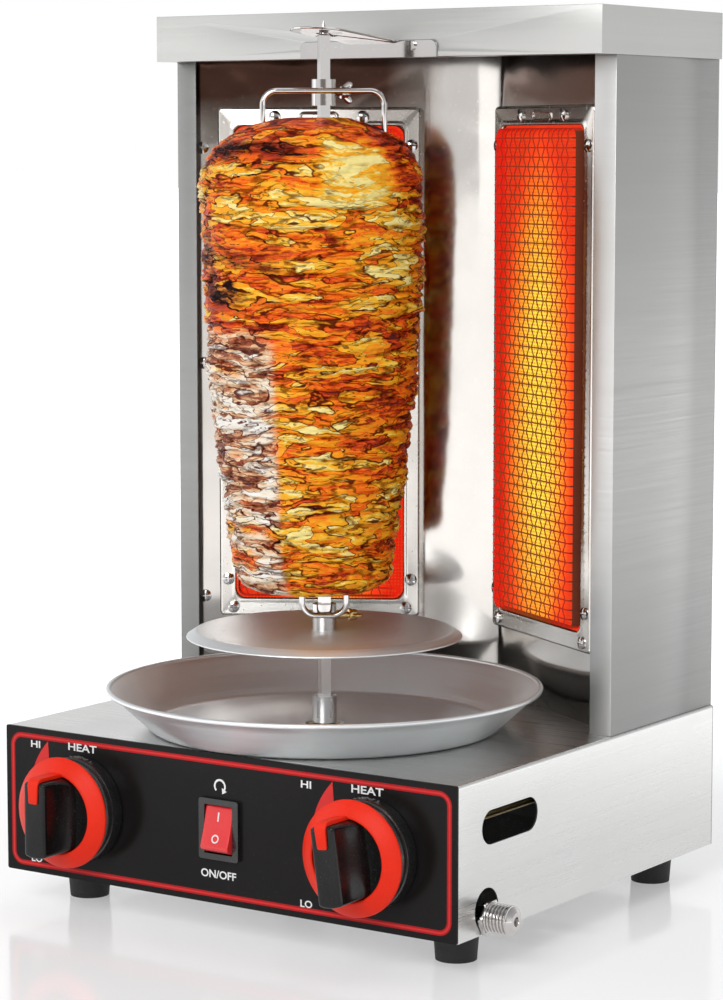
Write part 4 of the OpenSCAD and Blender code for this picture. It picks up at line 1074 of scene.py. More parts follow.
@dataclass
class Burner:
    """One burner: its pressed frame, tiles and wire guard.

    Attributes:
        side: -1 for the left, 1 for the right.
        width: width of the frame.
        height: height of the frame.
        rise: how far the frame stands out of the lining.
        corner: corner radius of the frame.
        open_corner: corner radius of the opening.
        open_width: width of the opening.
        open_height: height of the opening.
        guard: how far the guard stands out of the frame.
        row_pitch: distance between level wires.
        column_pitch: distance between upright wires.
        wire: radius of a wire.
        fold_gap: distance of the frame from the fold of the lining, along it.
        foot: height of the frame's lower edge over the deck.
    """

    side: int
    width: float = 152.0
    height: float = 384.0
    rise: float = 9.0
    corner: float = 4.0
    open_corner: float = 8.0
    open_width: float = 127.0
    open_height: float = 356.0
    guard: float = 9.0
    row_pitch: float = 6.75
    column_pitch: float = 7.2
    wire: float = 0.55
    fold_gap: float = 7.5
    foot: float = 53.0

    @property
    def name(self) -> str:
        """Left or right."""
        return "right" if self.side > 0 else "left"

    def world(self, local: Array) -> Array:
        """From burner (across, outward, up) about its middle to machine millimetres.

        The lining turns by its angle about its fold; the left burner is the right one mirrored.

        Args:
            local: points, with across, outward and up in the last axis.

        Returns:
            The same points as x, y and z.
        """
        s = local[..., 0] + self.fold_gap + self.width / 2
        out = -local[..., 1]
        x = LINING_STRIP + s * math.cos(LINING_ANGLE) + out * math.sin(LINING_ANGLE)
        y = LINING_Y - s * math.sin(LINING_ANGLE) + out * math.cos(LINING_ANGLE)
        z = DECK_Z + self.foot + self.height / 2 + local[..., 2]
        return np.stack([self.side * x, y, z], -1)

    def build(self) -> None:
        """Makes the frame and the guard and dresses the tiles."""
        name = self.name
        tile = Glow(f"glowing_tile_{name}", "ceramic_hot", self.side, TILE_COLD, TILE_STOPS, 1.05, True)
        wire = Glow(f"glowing_wire_{name}", "guard_hot", self.side, WIRE_COLD, WIRE_STOPS, 0.75)
        frame_shell = self.frame_shell().mapped(self.world)
        frame_shell.piece(f"pressed_frame_{name}", FRAME_STEEL, "cabinet", [f"burner_frame_{name}"])
        guard_shell = self.guard_shell().mapped(self.world)
        guard_shell.piece(f"woven_guard_{name}", wire, "cabinet", [f"wire_guard_{name}"], 60)
        dress_node(f"ceramic_tiles_{name}", tile)

    def frame_shell(self) -> Shell:
        """Pressed frame: rounded rectangles run from its skirt to the lip of the opening and back.

        Each section has its inset from the outline, its height, and its share of the way to the
        opening, which has a wider border at top and bottom and rounder corners. An oval boss stands
        in the middle of the upper border.

        Returns:
            The frame and its boss, in the burner's own axes.
        """
        top = self.rise
        sections = [
            (0.0, 0.0, 0.0), (0.0, top - 2.2, 0.0), (0.35, top - 1.0, 0.0),
            (1.1, top - 0.25, 0.0), (2.2, top, 0.0), (8.8, top, 0.55),
            (10.0, top + 0.35, 0.65), (10.9, top + 0.9, 0.8), (11.8, top + 0.9, 0.95),
            (12.4, top + 0.2, 1.0), (12.5, top - 1.5, 1.0), (10.6, top - 1.5, 0.8),
            (3.2, top - 1.5, 0.0), (1.6, top - 3.2, 0.0), (1.5, 0.0, 0.0),
        ]
        extra = (self.height - self.open_height - self.width + self.open_width) / 2
        loops = []
        for inset, out, share in sections:
            radius = max(self.corner - inset, 2.5) * (1 - share) + self.open_corner * share
            high = self.height - 2 * (inset + extra * share)
            loops.append(self.level(self.width - 2 * inset, high, radius, out))
        shell = Shell().ring(np.stack(loops))
        boss = [(k, top + 0.9 * math.sin(k * math.pi)) for k in np.linspace(0, 1, 5)]
        boss += [(k, top - 1.0) for k in (1.0, 0.0)]
        oval = [self.level(30 - 5 * k, 8.4 - 5 * k, 4.1 - 2.5 * k, out) for k, out in boss]
        return shell.ring(np.stack(oval) + np.array([0.0, 0.0, self.height / 2 - 7.2]))

    @staticmethod
    def level(width: float, height: float, radius: float, out: float) -> Array:
        """Rounded rectangle of the burner's plane at a distance out from the lining."""
        x, z = rounded_loop(width, height, radius, 8).T
        return np.stack([x, np.full(len(x), out), z], -1)

    def run(self, reach: float, count: int) -> tuple[Array, Array, Array]:
        """Course of a wire from side to side of the tray.

        Args:
            reach: half the length of the tray that way.
            count: points along its level part.

        Returns:
            Place along the tray, height over the lining, and 1 where the wire lies level.
        """
        top, foot, bend = self.rise + self.guard - self.wire, self.rise - 1.5, 4.0
        place = np.concatenate(
            [[-reach, -reach, 0.3 * bend - reach], np.linspace(bend - reach, reach - bend, count),
             [reach - 0.3 * bend, reach, reach]]
        )
        edge = np.array([foot, top - bend, top - 0.3 * bend])
        height = np.concatenate([edge, np.full(count, top), edge[::-1]])
        return place, height, (height >= top).astype(float)

    def guard_shell(self) -> Shell:
        """Woven wires on a bound edge.

        The level wires ripple a little. The upright wire k runs at s = k p + (-1)^k A cos(pi z / row),
        so neighbours close in and part again and leave waisted gaps. All bend down to the frame at the
        edge of the tray, where a thin strip binds them.

        Returns:
            The wires and the strip, in the burner's own axes.
        """
        half_w, half_h = self.open_width / 2 - 2.5, self.open_height / 2 - 2.5
        rows, columns = round(2 * half_h / self.row_pitch), round(2 * half_w / self.column_pitch)
        row_z = np.linspace(-half_h, half_h, rows + 1)[1:-1]
        column_s = np.linspace(-half_w, half_w, columns + 1)[1:-1]
        shell = Shell()
        place, height, flat = self.run(half_w, 2 * columns)
        for k, z in enumerate(row_z):
            ripple = 0.3 * np.cos((np.arange(len(place)) + k) * math.pi) * flat
            path = np.stack([place, height + ripple, np.full(len(place), z)], -1)
            shell.solid(tubed(path, self.wire, self.wire, (0, 0, 1), 5))
        place, height, flat = self.run(half_h, 4 * rows)
        for k, s0 in enumerate(column_s):
            sway = (-1) ** k * 1.5 * np.cos(math.pi * (place + half_h) * rows / (2 * half_h)) * flat
            path = np.stack([s0 + sway, height, place], -1)
            shell.solid(tubed(path, self.wire * 0.9, self.wire * 0.9, (1, 0, 0), 5))
        low, high = self.rise - 1.0, self.rise + 5.2
        strip = [(0.35, low), (0.35, high), (0.0, high + 0.4), (-0.35, high), (-0.35, low)]
        edge = [self.level(2 * (half_w + d), 2 * (half_h + d), 6.0, out) for d, out in strip]
        return shell.ring(np.stack(edge))


# ---------- the front


@dataclass
class Knob:
    """Gas knob with its rosette, red ring, black grip and red pointer.

    Attributes:
        side: -1 for the left, 1 for the right.
        turn: how far it stands turned, in degrees.
        radius: radius of the ring.
        rosette: thickness of the plate behind it.
        rosette_radius: radius of that plate.
        back: distance of its rear from the panel.
        ring_height: depth of the ring.
        ring_inner: radius inside the ring.
        reach: distance of the grip's face from the panel.
        grip_radius: radius that the grip's ends follow.
        grip_width: width of the grip at its face.
    """

    side: int
    turn: float = 0.0
    radius: float = 39.0
    rosette: float = 16.0
    rosette_radius: float = 37.5
    back: float = 19.5
    ring_height: float = 8.0
    ring_inner: float = 27.5
    reach: float = 51.0
    grip_radius: float = 27.0
    grip_width: float = 17.0

    @property
    def name(self) -> str:
        """Left or right."""
        return "right" if self.side > 0 else "left"

    def seat(self, shell: Shell, turned: bool = True) -> Shell:
        """From the knob's own drawing, z towards the user and y up, to its place on the panel."""
        angle = math.radians(self.turn) if turned else 0.0
        return shell.moved(angle, 2).moved(math.pi / 2, 0, (self.side * KNOB_X, 0, PANEL_Z))

    def build(self) -> None:
        """Makes the rosette, the ring and the grip, and dresses the spindle."""
        name = self.name
        body = f"knob_{name}"
        rosette = self.seat(self.rosette_shell(), False)
        rosette.piece(f"rosette_{name}", BLACK, "cabinet", [f"knob_rosette_{name}"])
        self.seat(self.ring_shell()).piece(f"red_ring_{name}", RED, body, [f"knob_ring_{name}"])
        grip = self.seat(self.grip_shell())
        grip.piece(f"grip_{name}", GRIP_BLACK, body, [f"knob_grip_{name}"], 50)
        dress_node(f"valve_spindle_{name}", ZINC)

    def rosette_shell(self) -> Shell:
        """Turned plate with a stepped, rounded rim.

        Returns:
            The plate, z towards the user.
        """
        r, h = self.rosette_radius, self.rosette
        profile = [
            (7.0, 0.2), (r - 0.6, 0.2), (r, 0.8), (r, h * 0.62), (r - 0.4, h * 0.68),
            (r - 1.2, h * 0.70), (r - 1.4, h * 0.76), (r - 1.6, h * 0.88),
            (r - 2.6, h * 0.97), (r - 4.0, h), (7.0, h),
        ]
        return Shell().ring(revolved(profile, 128))

    def ring_shell(self) -> Shell:
        """Sloping ring with soft edges, and the pointer that runs from it over the grip.

        Returns:
            Both, z towards the user.
        """
        r, b, h, inner = self.radius, self.back, self.ring_height, self.ring_inner
        profile = [
            (inner, b), (r - 1.2, b), (r - 0.35, b + 0.3), (r, b + 0.95), (r - 0.1, b + 1.7),
            (r - 0.5, b + 2.4), (inner + 6.0, b + h - 2.8), (inner + 2.9, b + h - 0.9),
            (inner + 1.8, b + h - 0.2), (inner + 0.8, b + h), (inner, b + h - 0.5),
        ]
        shell = Shell().ring(revolved(profile, 160))
        y0, z0 = self.grip_radius + 0.9, b + h - 3.5
        top = self.reach + 0.35
        path = np.array([
            (0, y0, z0), (0, y0, z0 + 6), (0, y0, top - 4), (0, y0 - 0.5, top - 2),
            (0, y0 - 1.8, top - 0.6), (0, y0 - 3.6, top), (0, y0 - 9, top),
            (0, y0 - 15.5, top), (0, y0 - 16.3, top),
        ])
        width = np.array([5.0, 4.9, 4.6, 4.5, 4.4, 4.3, 4.0, 3.7, 3.1])
        thick = np.array([1.5, 1.5, 1.5, 1.45, 1.4, 1.4, 1.3, 1.2, 0.7])
        return shell.solid(self.band(path, width, thick))

    @staticmethod
    def band(path: Array, half_width: Array, half_thick: Array) -> Array:
        """Rounded bar carried along a path in the plane x = 0: superellipse |x/a|^7 + |y/b|^7 = 1.

        Args:
            path: points in order, (m, 3).
            half_width: half size along x at each point.
            half_thick: half size in the plane at each point.

        Returns:
            Loops of shape (m, 20, 3).
        """
        a = np.arange(20) * TURN / 20
        c, s = np.cos(a), np.sin(a)
        cx, sy = np.sign(c) * np.abs(c) ** 0.28, np.sign(s) * np.abs(s) ** 0.28
        t = np.gradient(path, axis=0)
        t /= np.linalg.norm(t, axis=1, keepdims=True)
        out = np.cross([1.0, 0, 0], t)
        return (
            path[:, None]
            + half_width[:, None, None] * cx[None, :, None] * np.array([1.0, 0, 0])
            + half_thick[:, None, None] * sy[None, :, None] * out[:, None]
        )

    def grip_shell(self) -> Shell:
        """Bar whose flanks flare towards the ring.

        At height h the outline is (w q / (1 + |q|^9)^(1/9), R cos a) with q = R sin a / w, so it is a
        bar of half-width w with ends on the circle R; w grows with the power 2.4 of the depth, and
        the last rows draw in to round the face's edge. A dish closes the ring behind it.

        Returns:
            The bar and the dish, z towards the user.
        """
        b, h, r, inner = self.back, self.ring_height, self.grip_radius, self.ring_inner
        foot = b + h - 4.0
        rounding = np.array([1.0, 0.45, 0.12, 0.0])
        heights = np.append(np.linspace(foot, self.reach - 1.6, 14), self.reach - rounding)
        depth = np.clip((self.reach - heights) / (self.reach - foot), 0, 1)
        width = self.grip_width / 2 + 0.6 + 6.5 * depth**2.4
        radius = np.full(len(heights), r)
        for size in (width, radius):
            size[-4:] -= np.array([0.15, 0.6, 1.4, 2.6])
        a = (np.arange(96) + 0.5) * TURN / 96
        q = radius[:, None] * np.sin(a)[None] / width[:, None]
        x = width[:, None] * q / (1 + np.abs(q) ** 9) ** (1 / 9)
        y = radius[:, None] * np.cos(a)[None]
        bar = np.stack([x, y, np.repeat(heights[:, None], len(a), 1)], -1)
        dish = [
            (inner - 0.1, b), (inner - 0.1, b + h - 3.4), (inner - 0.6, b + h - 2.8),
            (inner - 3, b + h - 3.0), (12.0, b + h - 3.6), (4.1, b + h - 3.6), (4.1, b),
        ]
        return Shell().solid(bar).ring(revolved(dish, 96))


@dataclass
class Rocker:
    """Rocker of the switch, with its two marks.

    Attributes:
        width: width of the rocker.
        reach: radius of its ends about the pivot.
        tilt: how far it stands tilted, in degrees.
        dish: slope of its two faces towards the valley, in degrees.
        valley: depth of its face at the middle, from the pivot.
        pivot_y: distance of the pivot behind the panel's face.
    """

    width: float = 23.0
    reach: float = 16.5
    tilt: float = 15.0
    dish: float = 3.0
    valley: float = 6.5
    pivot_y: float = 2.0

    def seat(self, shell: Shell) -> Shell:
        """Tilts about the pivot and moves to the panel."""
        return shell.moved(-math.radians(self.tilt), 0, (0, self.pivot_y, PANEL_Z))

    def face(self, z: Array) -> Array:
        """Depth of the face at a height: a shallow valley that rises towards both ends."""
        rise = math.tan(math.radians(self.dish)) * self.reach
        return -(self.valley + rise * (np.abs(z) / self.reach) ** 1.25)

    def build(self) -> None:
        """Makes the rocker, its pivot and its marks.

        The outline in the plane x = 0 runs up the face, over the rounded ends and round the back;
        it shrinks a little at both sides, so that their edges are round.
        """
        end = math.acos((self.valley + self.reach * math.tan(math.radians(self.dish))) / self.reach)
        z = np.linspace(-1, 1, 25) * self.reach * math.sin(end)
        front = np.stack([self.face(z), z], -1)
        front[[0, -1], 0] += 0.5
        arc = np.linspace(end, math.pi / 2, 6)[1:]
        upper = self.reach * np.stack([-np.cos(arc), np.sin(arc)], -1)
        lower = (upper * np.array([1, -1]))[::-1]
        a = np.linspace(math.pi / 2, -math.pi / 2, 9)[1:-1]
        back = np.stack([5.4 * np.cos(a), self.reach * 0.98 * np.sin(a)], -1)
        outline = np.concatenate([front, upper, back, lower])
        half = self.width / 2
        steps = [(half, 0.93), (half - 0.15, 0.965), (half - 0.5, 0.988), (half - 1.1, 1.0)]
        places = [(-x, k) for x, k in steps] + [(x, k) for x, k in reversed(steps)]
        y, z = outline.T
        loops = np.stack(
            [np.stack([np.full(len(y), x), y * k, z * (0.5 + 0.5 * k)], -1) for x, k in places]
        )
        pivot = np.array([[-half - 1.4, 0, 0], [0, 0, 0], [half + 1.4, 0, 0]])
        shell = Shell().solid(loops).solid(tubed(pivot, 1.5, 1.5, (0, 0, 1), 24))
        self.seat(shell).piece("rocker_cap", ROCKER_RED, "rocker", ["switch_rocker"], 50)
        self.seat(self.mark_on()).piece("mark_on", PRINT_WHITE, "rocker")
        self.seat(self.mark_off()).piece("mark_off", PRINT_WHITE, "rocker")

    def mark_on(self) -> Shell:
        """Upright stroke that follows the face.

        Returns:
            The stroke, in the rocker's own axes.
        """
        z = np.linspace(4.4, 10.6, 9)
        path = np.stack([np.zeros(9), self.face(z) + 0.05, z], -1)
        return Shell().solid(tubed(path, 0.62, 0.22, (1, 0, 0), 10))

    def mark_off(self) -> Shell:
        """Ring that follows the face: circle of radius 2.5 with a flat elliptic section.

        Returns:
            The ring, in the rocker's own axes.
        """
        a = np.arange(40) * TURN / 40
        b = np.arange(8) * TURN / 8
        r = 2.5 + 0.55 * np.cos(b)[None]
        x, z = r * np.cos(a)[:, None], r * np.sin(a)[:, None] - 7.6
        y = self.face(z) + 0.05 + 0.22 * np.sin(b)[None]
        return Shell().ring(np.stack([x, y, z], -1))


PRINT_Y = 0.08
PRINT_THICK = 0.12


@dataclass
class Legend:
    """One word of the panel's print.

    Attributes:
        words: what it says.
        x: middle, from the middle of the panel.
        z: middle height over the worktop.
        width: width of the word.
        height: height of its capitals.
    """

    words: str
    x: float
    z: float
    width: float
    height: float

    def build(self, name: str) -> None:
        """Sets the word, makes it a mesh, then fits its box to the wanted size.

        Args:
            name: name of the piece.
        """
        curve = bpy.data.curves.new(name, "FONT")
        curve.body = self.words
        curve.extrude = 0.02
        curve.offset = 0.018
        curve.resolution_u = 4
        maker = bpy.data.objects.new(name + "_maker", curve)
        bpy.context.scene.collection.objects.link(maker)
        bpy.context.view_layer.update()
        evaluated = maker.evaluated_get(bpy.context.evaluated_depsgraph_get())
        mesh = bpy.data.meshes.new_from_object(evaluated)
        bpy.data.objects.remove(maker)
        flat = np.zeros(len(mesh.vertices) * 3)
        mesh.vertices.foreach_get("co", flat)
        flat = flat.reshape(-1, 3)
        low, high = flat.min(0), flat.max(0)
        share = (flat - (low + high) / 2) / (high - low)
        x, z = self.x + share[:, 0] * self.width, self.z + share[:, 1] * self.height
        placed = np.stack([x, -PRINT_Y - share[:, 2] * PRINT_THICK, z], -1)
        mesh.vertices.foreach_set("co", to_row(placed).astype(np.float32).ravel())
        cleaned(mesh, 1e-6)
        mesh.update()
        set_on_body(name, mesh, PRINT_WHITE, "cabinet")


@dataclass
class Front:
    """The panel with its print, knobs and rocker."""

    legends: dict[str, Legend] = field(
        default_factory=lambda: {
            "print_switch": Legend("ON/OFF", -2.0, 45.4, 29.7, 5.6),
            "print_high_left": Legend("HI", -163.0, 117.6, 8.4, 5.0),
            "print_high_right": Legend("HI", 71.0, 116.4, 8.4, 5.0),
            "print_heat_left": Legend("HEAT", -120.4, 119.4, 25.5, 5.4),
            "print_heat_right": Legend("HEAT", 120.2, 118.2, 25.5, 5.4),
            "print_low_left": Legend("LO", -163.0, 35.3, 9.6, 5.0),
            "print_low_right": Legend("LO", 71.0, 35.3, 9.6, 5.0),
        }
    )

    def build(self) -> None:
        """Builds the front in order."""
        dress_node("control_panel", PANEL)
        for side, turn in ((-1, 0.0), (1, 8.0)):
            Knob(side, turn).build()
            self.crescent(side)
        Rocker().build()
        for name, legend in self.legends.items():
            legend.build(name)
        self.turning_arrow()

    @staticmethod
    def slab(inner: Array, outer: Array, thick: float = PRINT_THICK, lift: float = 0.02) -> Shell:
        """Flat print between two open edges in the panel's plane, with a hair of thickness.

        Args:
            inner: points (x, z) of one edge.
            outer: as many points of the other.
            thick: thickness of the print.
            lift: distance of its back from the panel.

        Returns:
            The closed print.
        """
        corners = ((inner, -lift), (outer, -lift), (outer, -lift - thick), (inner, -lift - thick))
        loops = [np.stack([edge[:, 0], np.full(len(edge), y), edge[:, 1]], -1) for edge, y in corners]
        return Shell().solid(np.stack(loops, 1))

    def crescent(self, side: int) -> None:
        """Red wedge round a knob: its outer radius falls from 53 at the top to 40 at the bottom.

        Its inner edge starts further round, so that the tip's right side stands upright.

        Args:
            side: -1 for the left knob, 1 for the right.
        """
        share = np.linspace(0, 1, 60)
        reach = 53.0 - 13.2 * share**0.8
        middle = np.array([side * KNOB_X, PANEL_Z])
        edges = []
        for start, radius in ((143, np.minimum(35.0, reach - 0.4)), (124, reach)):
            a = np.radians(start + (244 - start) * share)
            edges.append(middle + np.stack([np.cos(a), np.sin(a)], -1) * radius[:, None])
        name = "right" if side > 0 else "left"
        self.slab(*edges).piece(f"heat_wedge_{name}", PRINT_RED, "cabinet")

    def turning_arrow(self) -> None:
        """Plain turning arrow over the switch: a part of a ring with an arrow head.

        The head starts at the ring's end and narrows evenly along the ring's own direction there.
        """
        a = np.radians(np.linspace(-30, 225, 40))
        middle = np.array([-0.5, 106.6])
        ring = np.stack([np.cos(a), np.sin(a)], -1)
        shell = self.slab(middle + ring * 3.6, middle + ring * 5.0)
        across = ring[0]
        along = np.array([across[1], -across[0]])
        base = middle + 4.3 * across
        steps = np.linspace(0, 1, 5)[:, None]
        inner = base + along * 3.6 * steps - across * 2.3 * (1 - steps)
        outer = base + along * 3.6 * steps + across * 2.3 * (1 - steps) + across * 0.02
        head = self.slab(inner, outer)
        shell.points += head.points
        shell.quads += [q + shell.count for q in head.quads]
        shell.count += head.count
        shell.piece("turning_arrow", PRINT_WHITE, "cabinet")


# ---------- pan, spit and meat


@dataclass
class PanAndPlate:
    """The drip pan and the plate under the meat.

    Attributes:
        rim: radius of the pan's rim.
        floor: radius of its floor.
        height: height of the pan.
        hole: radius of the hole round the socket.
        collar: height of the collar round that hole.
        bend: radius of the bend from floor to wall.
        roll: radius of the rolled rim.
    """

    rim: float = 154.5
    floor: float = 122.0
    height: float = 30.0
    hole: float = 13.5
    collar: float = 2.0
    bend: float = 8.0
    roll: float = 1.8

    def build(self) -> None:
        """Makes both by turning a profile about the spit."""
        self.pan().moved(0, 2, (*SPIT, DECK_Z)).piece("spun_drip_pan", SPUN, "pan", ["drip_pan"], 30)
        self.plate().moved(0, 2, (*SPIT, DECK_Z)).piece("spun_plate", SPUN, "spit", ["drip_plate"], 30)

    def pan(self) -> Shell:
        """Floor, soft corner, straight leaning wall and rolled rim, then the same inside, 1 mm thinner.

        Returns:
            The pan about the spit's axis, standing on the deck.
        """
        bend, roll_r = self.bend, self.roll
        lean = math.atan2(self.rim - roll_r - self.floor, self.height)
        a = np.linspace(0, math.pi / 2 - lean, 9)
        arc = np.stack([self.floor - 2.4 + bend * np.sin(a), bend * (1 - np.cos(a))], -1)
        end = np.array([self.rim - roll_r, self.height - roll_r])
        wall = arc[-1] + (end - arc[-1]) * np.linspace(0, 1, 8)[1:, None]
        roll_a = np.linspace(-math.pi * 0.42, math.pi * 0.98, 13)
        roll = end + roll_r * np.stack([np.cos(roll_a), np.sin(roll_a)], -1)
        inner = np.concatenate([arc, wall[:-1]])[::-1] + np.array([-1.0, 0.95])
        lip, edge = self.collar, self.hole
        hole = [
            (edge + 1.4, 1.0), (edge + 1.4, lip - 0.4), (edge + 0.7, lip),
            (edge, lip - 0.4), (edge, 0.0),
        ]
        flat = np.linspace(edge + 1.5, self.floor - 8, 10)
        under = np.stack([flat, np.zeros(10)], -1)
        flat = flat[::-1]
        over = np.stack([flat, 1 + 0.25 * np.sin(flat / self.floor * math.pi)], -1)
        profile = np.concatenate([under, arc, wall[:-1], roll, inner, over, hole])
        return Shell().ring(revolved(profile, 200))

    def plate(self) -> Shell:
        """Flat plate with a sloping rim and a rolled edge.

        Returns:
            The plate about the spit's axis, over the deck.
        """
        profile = [
            (5.05, 68.3), (89.2, 68.3), (91.0, 67.9), (96.2, 64.6), (97.0, 64.3),
            (97.5, 64.7), (97.3, 65.3), (91.6, 69.0), (90.2, 69.4), (88.8, 69.5),
            (60.0, 69.42), (30.0, 69.45), (5.05, 69.5),
        ]
        return Shell().ring(revolved(profile, 160))


@dataclass
class Meat:
    """Stack of roasted slices on the spit.

    Attributes:
        bottom: height of its underside over the deck.
        top: height of its crown.
        top_radius: radius near the top.
        bottom_radius: radius near the bottom.
        offset: distance of its middle from the spit, away from the right rear.
        rows: points up the side.
        columns: points round it.
        rings: rows of points from the side in to the spit, over crown and under foot.
        spit_radius: radius of the hole for the spit.
    """

    bottom: float = 97.0
    top: float = 425.0
    top_radius: float = 77.0
    bottom_radius: float = 52.0
    offset: float = 8.0
    rows: int = 330
    columns: int = 270
    rings: int = 14
    spit_radius: float = 5.2

    @property
    def aside(self) -> Array:
        """From the stack's own middle to the spit, as (x, y)."""
        return self.offset * np.array([math.cos(SPIT_TURN), math.sin(SPIT_TURN)])

    def body_radius(self, t: Array) -> Array:
        """Half-width, as in the solid: a sine swell from foot to shoulder, rounded at both ends.

        Args:
            t: share of the height.

        Returns:
            The half-width in millimetres.
        """
        swell = np.clip(np.sin(np.radians(t * 105)) / math.sin(math.radians(75)), 0, None) ** 0.8
        body = self.bottom_radius + (self.top_radius - self.bottom_radius) * swell
        foot_arc = np.sqrt(np.clip(1 - (1 - t / 0.05) ** 2, 0, 1))
        crown_arc = np.sqrt(np.clip(1 - ((t - 0.88) / 0.125) ** 2, 0, 1))
        foot = np.where(t < 0.05, foot_arc * 0.35 + 0.65, 1)
        crown = np.where(t > 0.88, crown_arc * 0.8 + 0.2, 1)
        return body * np.minimum(foot, crown)

    @staticmethod
    def flakes(
        u: Array, v: Array, cells: tuple[int, int], seed: int, pull: float
    ) -> tuple[Array, Array, Array]:
        """Overlapping flakes round jittered seeds, with the sheet pulled about by a noise first.

        A point belongs to its nearest seed. Each flake stands out most in its lower half, by
        0.5 + (height of the seed over the point), and the gap lies where the two nearest seeds are
        nearly as far, d2 - d1 < 0.3.

        Args:
            u: share of the way round.
            v: share of the way up.
            cells: flakes round and up.
            seed: seed of the random places.
            pull: how far the noise pulls, in flakes.

        Returns:
            How far each point stands out, how deep its gap is, and the tone of its flake, all 0 to 1.
        """
        n, m = cells
        table = np.random.default_rng(seed).random((m + 6, n, 3))
        x = u * n + pull * 2 * (wander(u, v, (n // 2, m // 2), seed + 1, 3) - 0.5)
        y = v * m + pull * 3 * (wander(u, v, (n // 2, m // 3), seed + 2, 3) - 0.5)
        shift = np.stack(np.meshgrid([-1, 0, 1], [-1, 0, 1]), -1).reshape(9, 2)
        i = np.floor(x).astype(int)[None] + shift[:, 0, None, None]
        j = np.clip(np.floor(y).astype(int)[None] + shift[:, 1, None, None], -2, m + 3)
        lot = table[j + 2, i % n]
        dx, dy = i + 0.1 + 0.8 * lot[..., 0] - x, j + 0.1 + 0.8 * lot[..., 1] - y
        order = np.argsort(np.hypot(dx, dy), 0)[:2]
        near = np.take_along_axis(np.hypot(dx, dy), order, 0)
        tone = np.take_along_axis(lot[..., 2], order[:1], 0)[0]
        rise = np.clip(0.5 + np.take_along_axis(dy, order[:1], 0)[0], 0, 1)
        gap = 1 - smooth_step(0.0, 0.3, near[1] - near[0])
        return 0.55 * tone + 0.45 * rise, gap, tone

    def build(self) -> None:
        """Lays two sizes of flakes over the swelling body and keeps their tones on the mesh."""
        v = np.linspace(0, 1, self.rows)[:, None]
        u = (np.arange(self.columns) / self.columns)[None]
        u, v = np.broadcast_arrays(u, v)
        big, big_gap, big_tone = self.flakes(u, v, (9, 40), 3, 0.8)
        small, small_gap, small_tone = self.flakes(u, v, (17, 84), 11, 0.9)
        rough = wander(u, v, (44, 70), 21, 3) - 0.5
        lumps = wander(u, v, (6, 8), 31, 3) - 0.5
        ends = smooth_step(0, 0.03, v) * smooth_step(0, 0.02, 1 - v)
        push = 3.6 * big + 2.2 * small - 1.5 * big_gap - 0.9 * small_gap
        push = push + 1.6 * rough + 6.0 * lumps - 2.6
        radius = self.body_radius(v) + push * ends
        angle = TURN * u
        z = self.bottom + (self.top - self.bottom) * v
        z = z + 1.6 * (wander(u, v, (9, 20), 41, 2) - 0.5) * ends
        skin = np.stack([radius * np.cos(angle), radius * np.sin(angle), z], -1)
        tones = self.tones(u, v, big_tone, small_tone, big_gap, small_gap, push)
        values = {key: self.spread(numbers) for key, numbers in tones.items()}
        shell = Shell().ring(self.closed(skin)).moved(0, 2, (*(SPIT - self.aside), DECK_Z))
        shell.piece("roast_stack", ROAST, "spit", ["meat_stack"], 180, values)

    def closed(self, skin: Array) -> Array:
        """Runs the skin in over crown and foot to the spit and down along it.

        The spit's hole is a circle about its axis; both ends run to it in straight lines, and the
        crown bulges by a sine on its way.

        Args:
            skin: points of the side, (rows, columns, 3).

        Returns:
            Loops whose last joins the first, so that the mesh is closed.
        """
        around = np.arange(self.columns) * TURN / self.columns
        hole = self.aside + self.spit_radius * np.stack([np.cos(around), np.sin(around)], -1)
        share = np.linspace(0, 1, self.rings + 1)[1:, None, None]
        peak = np.append(hole, np.full((self.columns, 1), self.top + 1.0), 1)
        crown = skin[-1] + (peak - skin[-1]) * share
        crown[..., 2] += 2.2 * np.sin(share[..., 0] * math.pi)
        foot = np.append(hole, np.full((self.columns, 1), self.bottom + 1.0), 1)
        under = foot + (skin[0] - foot) * share[:-1]
        return np.concatenate([skin, crown, foot[None], under])

    def spread(self, numbers: Array) -> Array:
        """Carries the end rows' numbers on over crown and foot."""
        crown, foot = np.repeat(numbers[-1:], self.rings, 0), np.repeat(numbers[:1], self.rings, 0)
        return np.concatenate([numbers, crown, foot])

    def tones(self, u: Array, v: Array, *layers: Array) -> dict[str, Array]:
        """Tone, char, painted glare, gaps and cleanness over the skin.

        Char gathers at the brim, in a knot and along the flank that has turned away from the fire; the
        foot of that flank bears a painted glare, pale and speckled, and one clean patch of fat lies at
        the crown. A small lowering of tone on the right flank is painted shade. Noise moves their
        borders.

        Args:
            u: share of the way round.
            v: share of the way up.
            *layers: tones of the large and small flakes, their gaps, and how far the skin is pushed.

        Returns:
            The numbers of each point by the attribute's name, 0 to 1.
        """
        big_tone, small_tone, big_gap, small_gap, push = layers
        cloud = wander(u, v, (6, 7), 61, 3)
        tone = 0.22 * big_tone + 0.26 * small_tone + 0.5 * cloud + 0.02 * push

        def round_about(degrees: float, width: float, power: float = 2) -> Array:
            """1 at an angle round the stack, falling away within a width of it."""
            return np.exp(-((np.abs((u * 360 - degrees + 180) % 360 - 180) / width) ** power))

        def band(middle: float, half: float, power: float, at: Array) -> Array:
            """1 at a height share, falling away within a half of it."""
            return np.exp(-(((at - middle) / half) ** power))

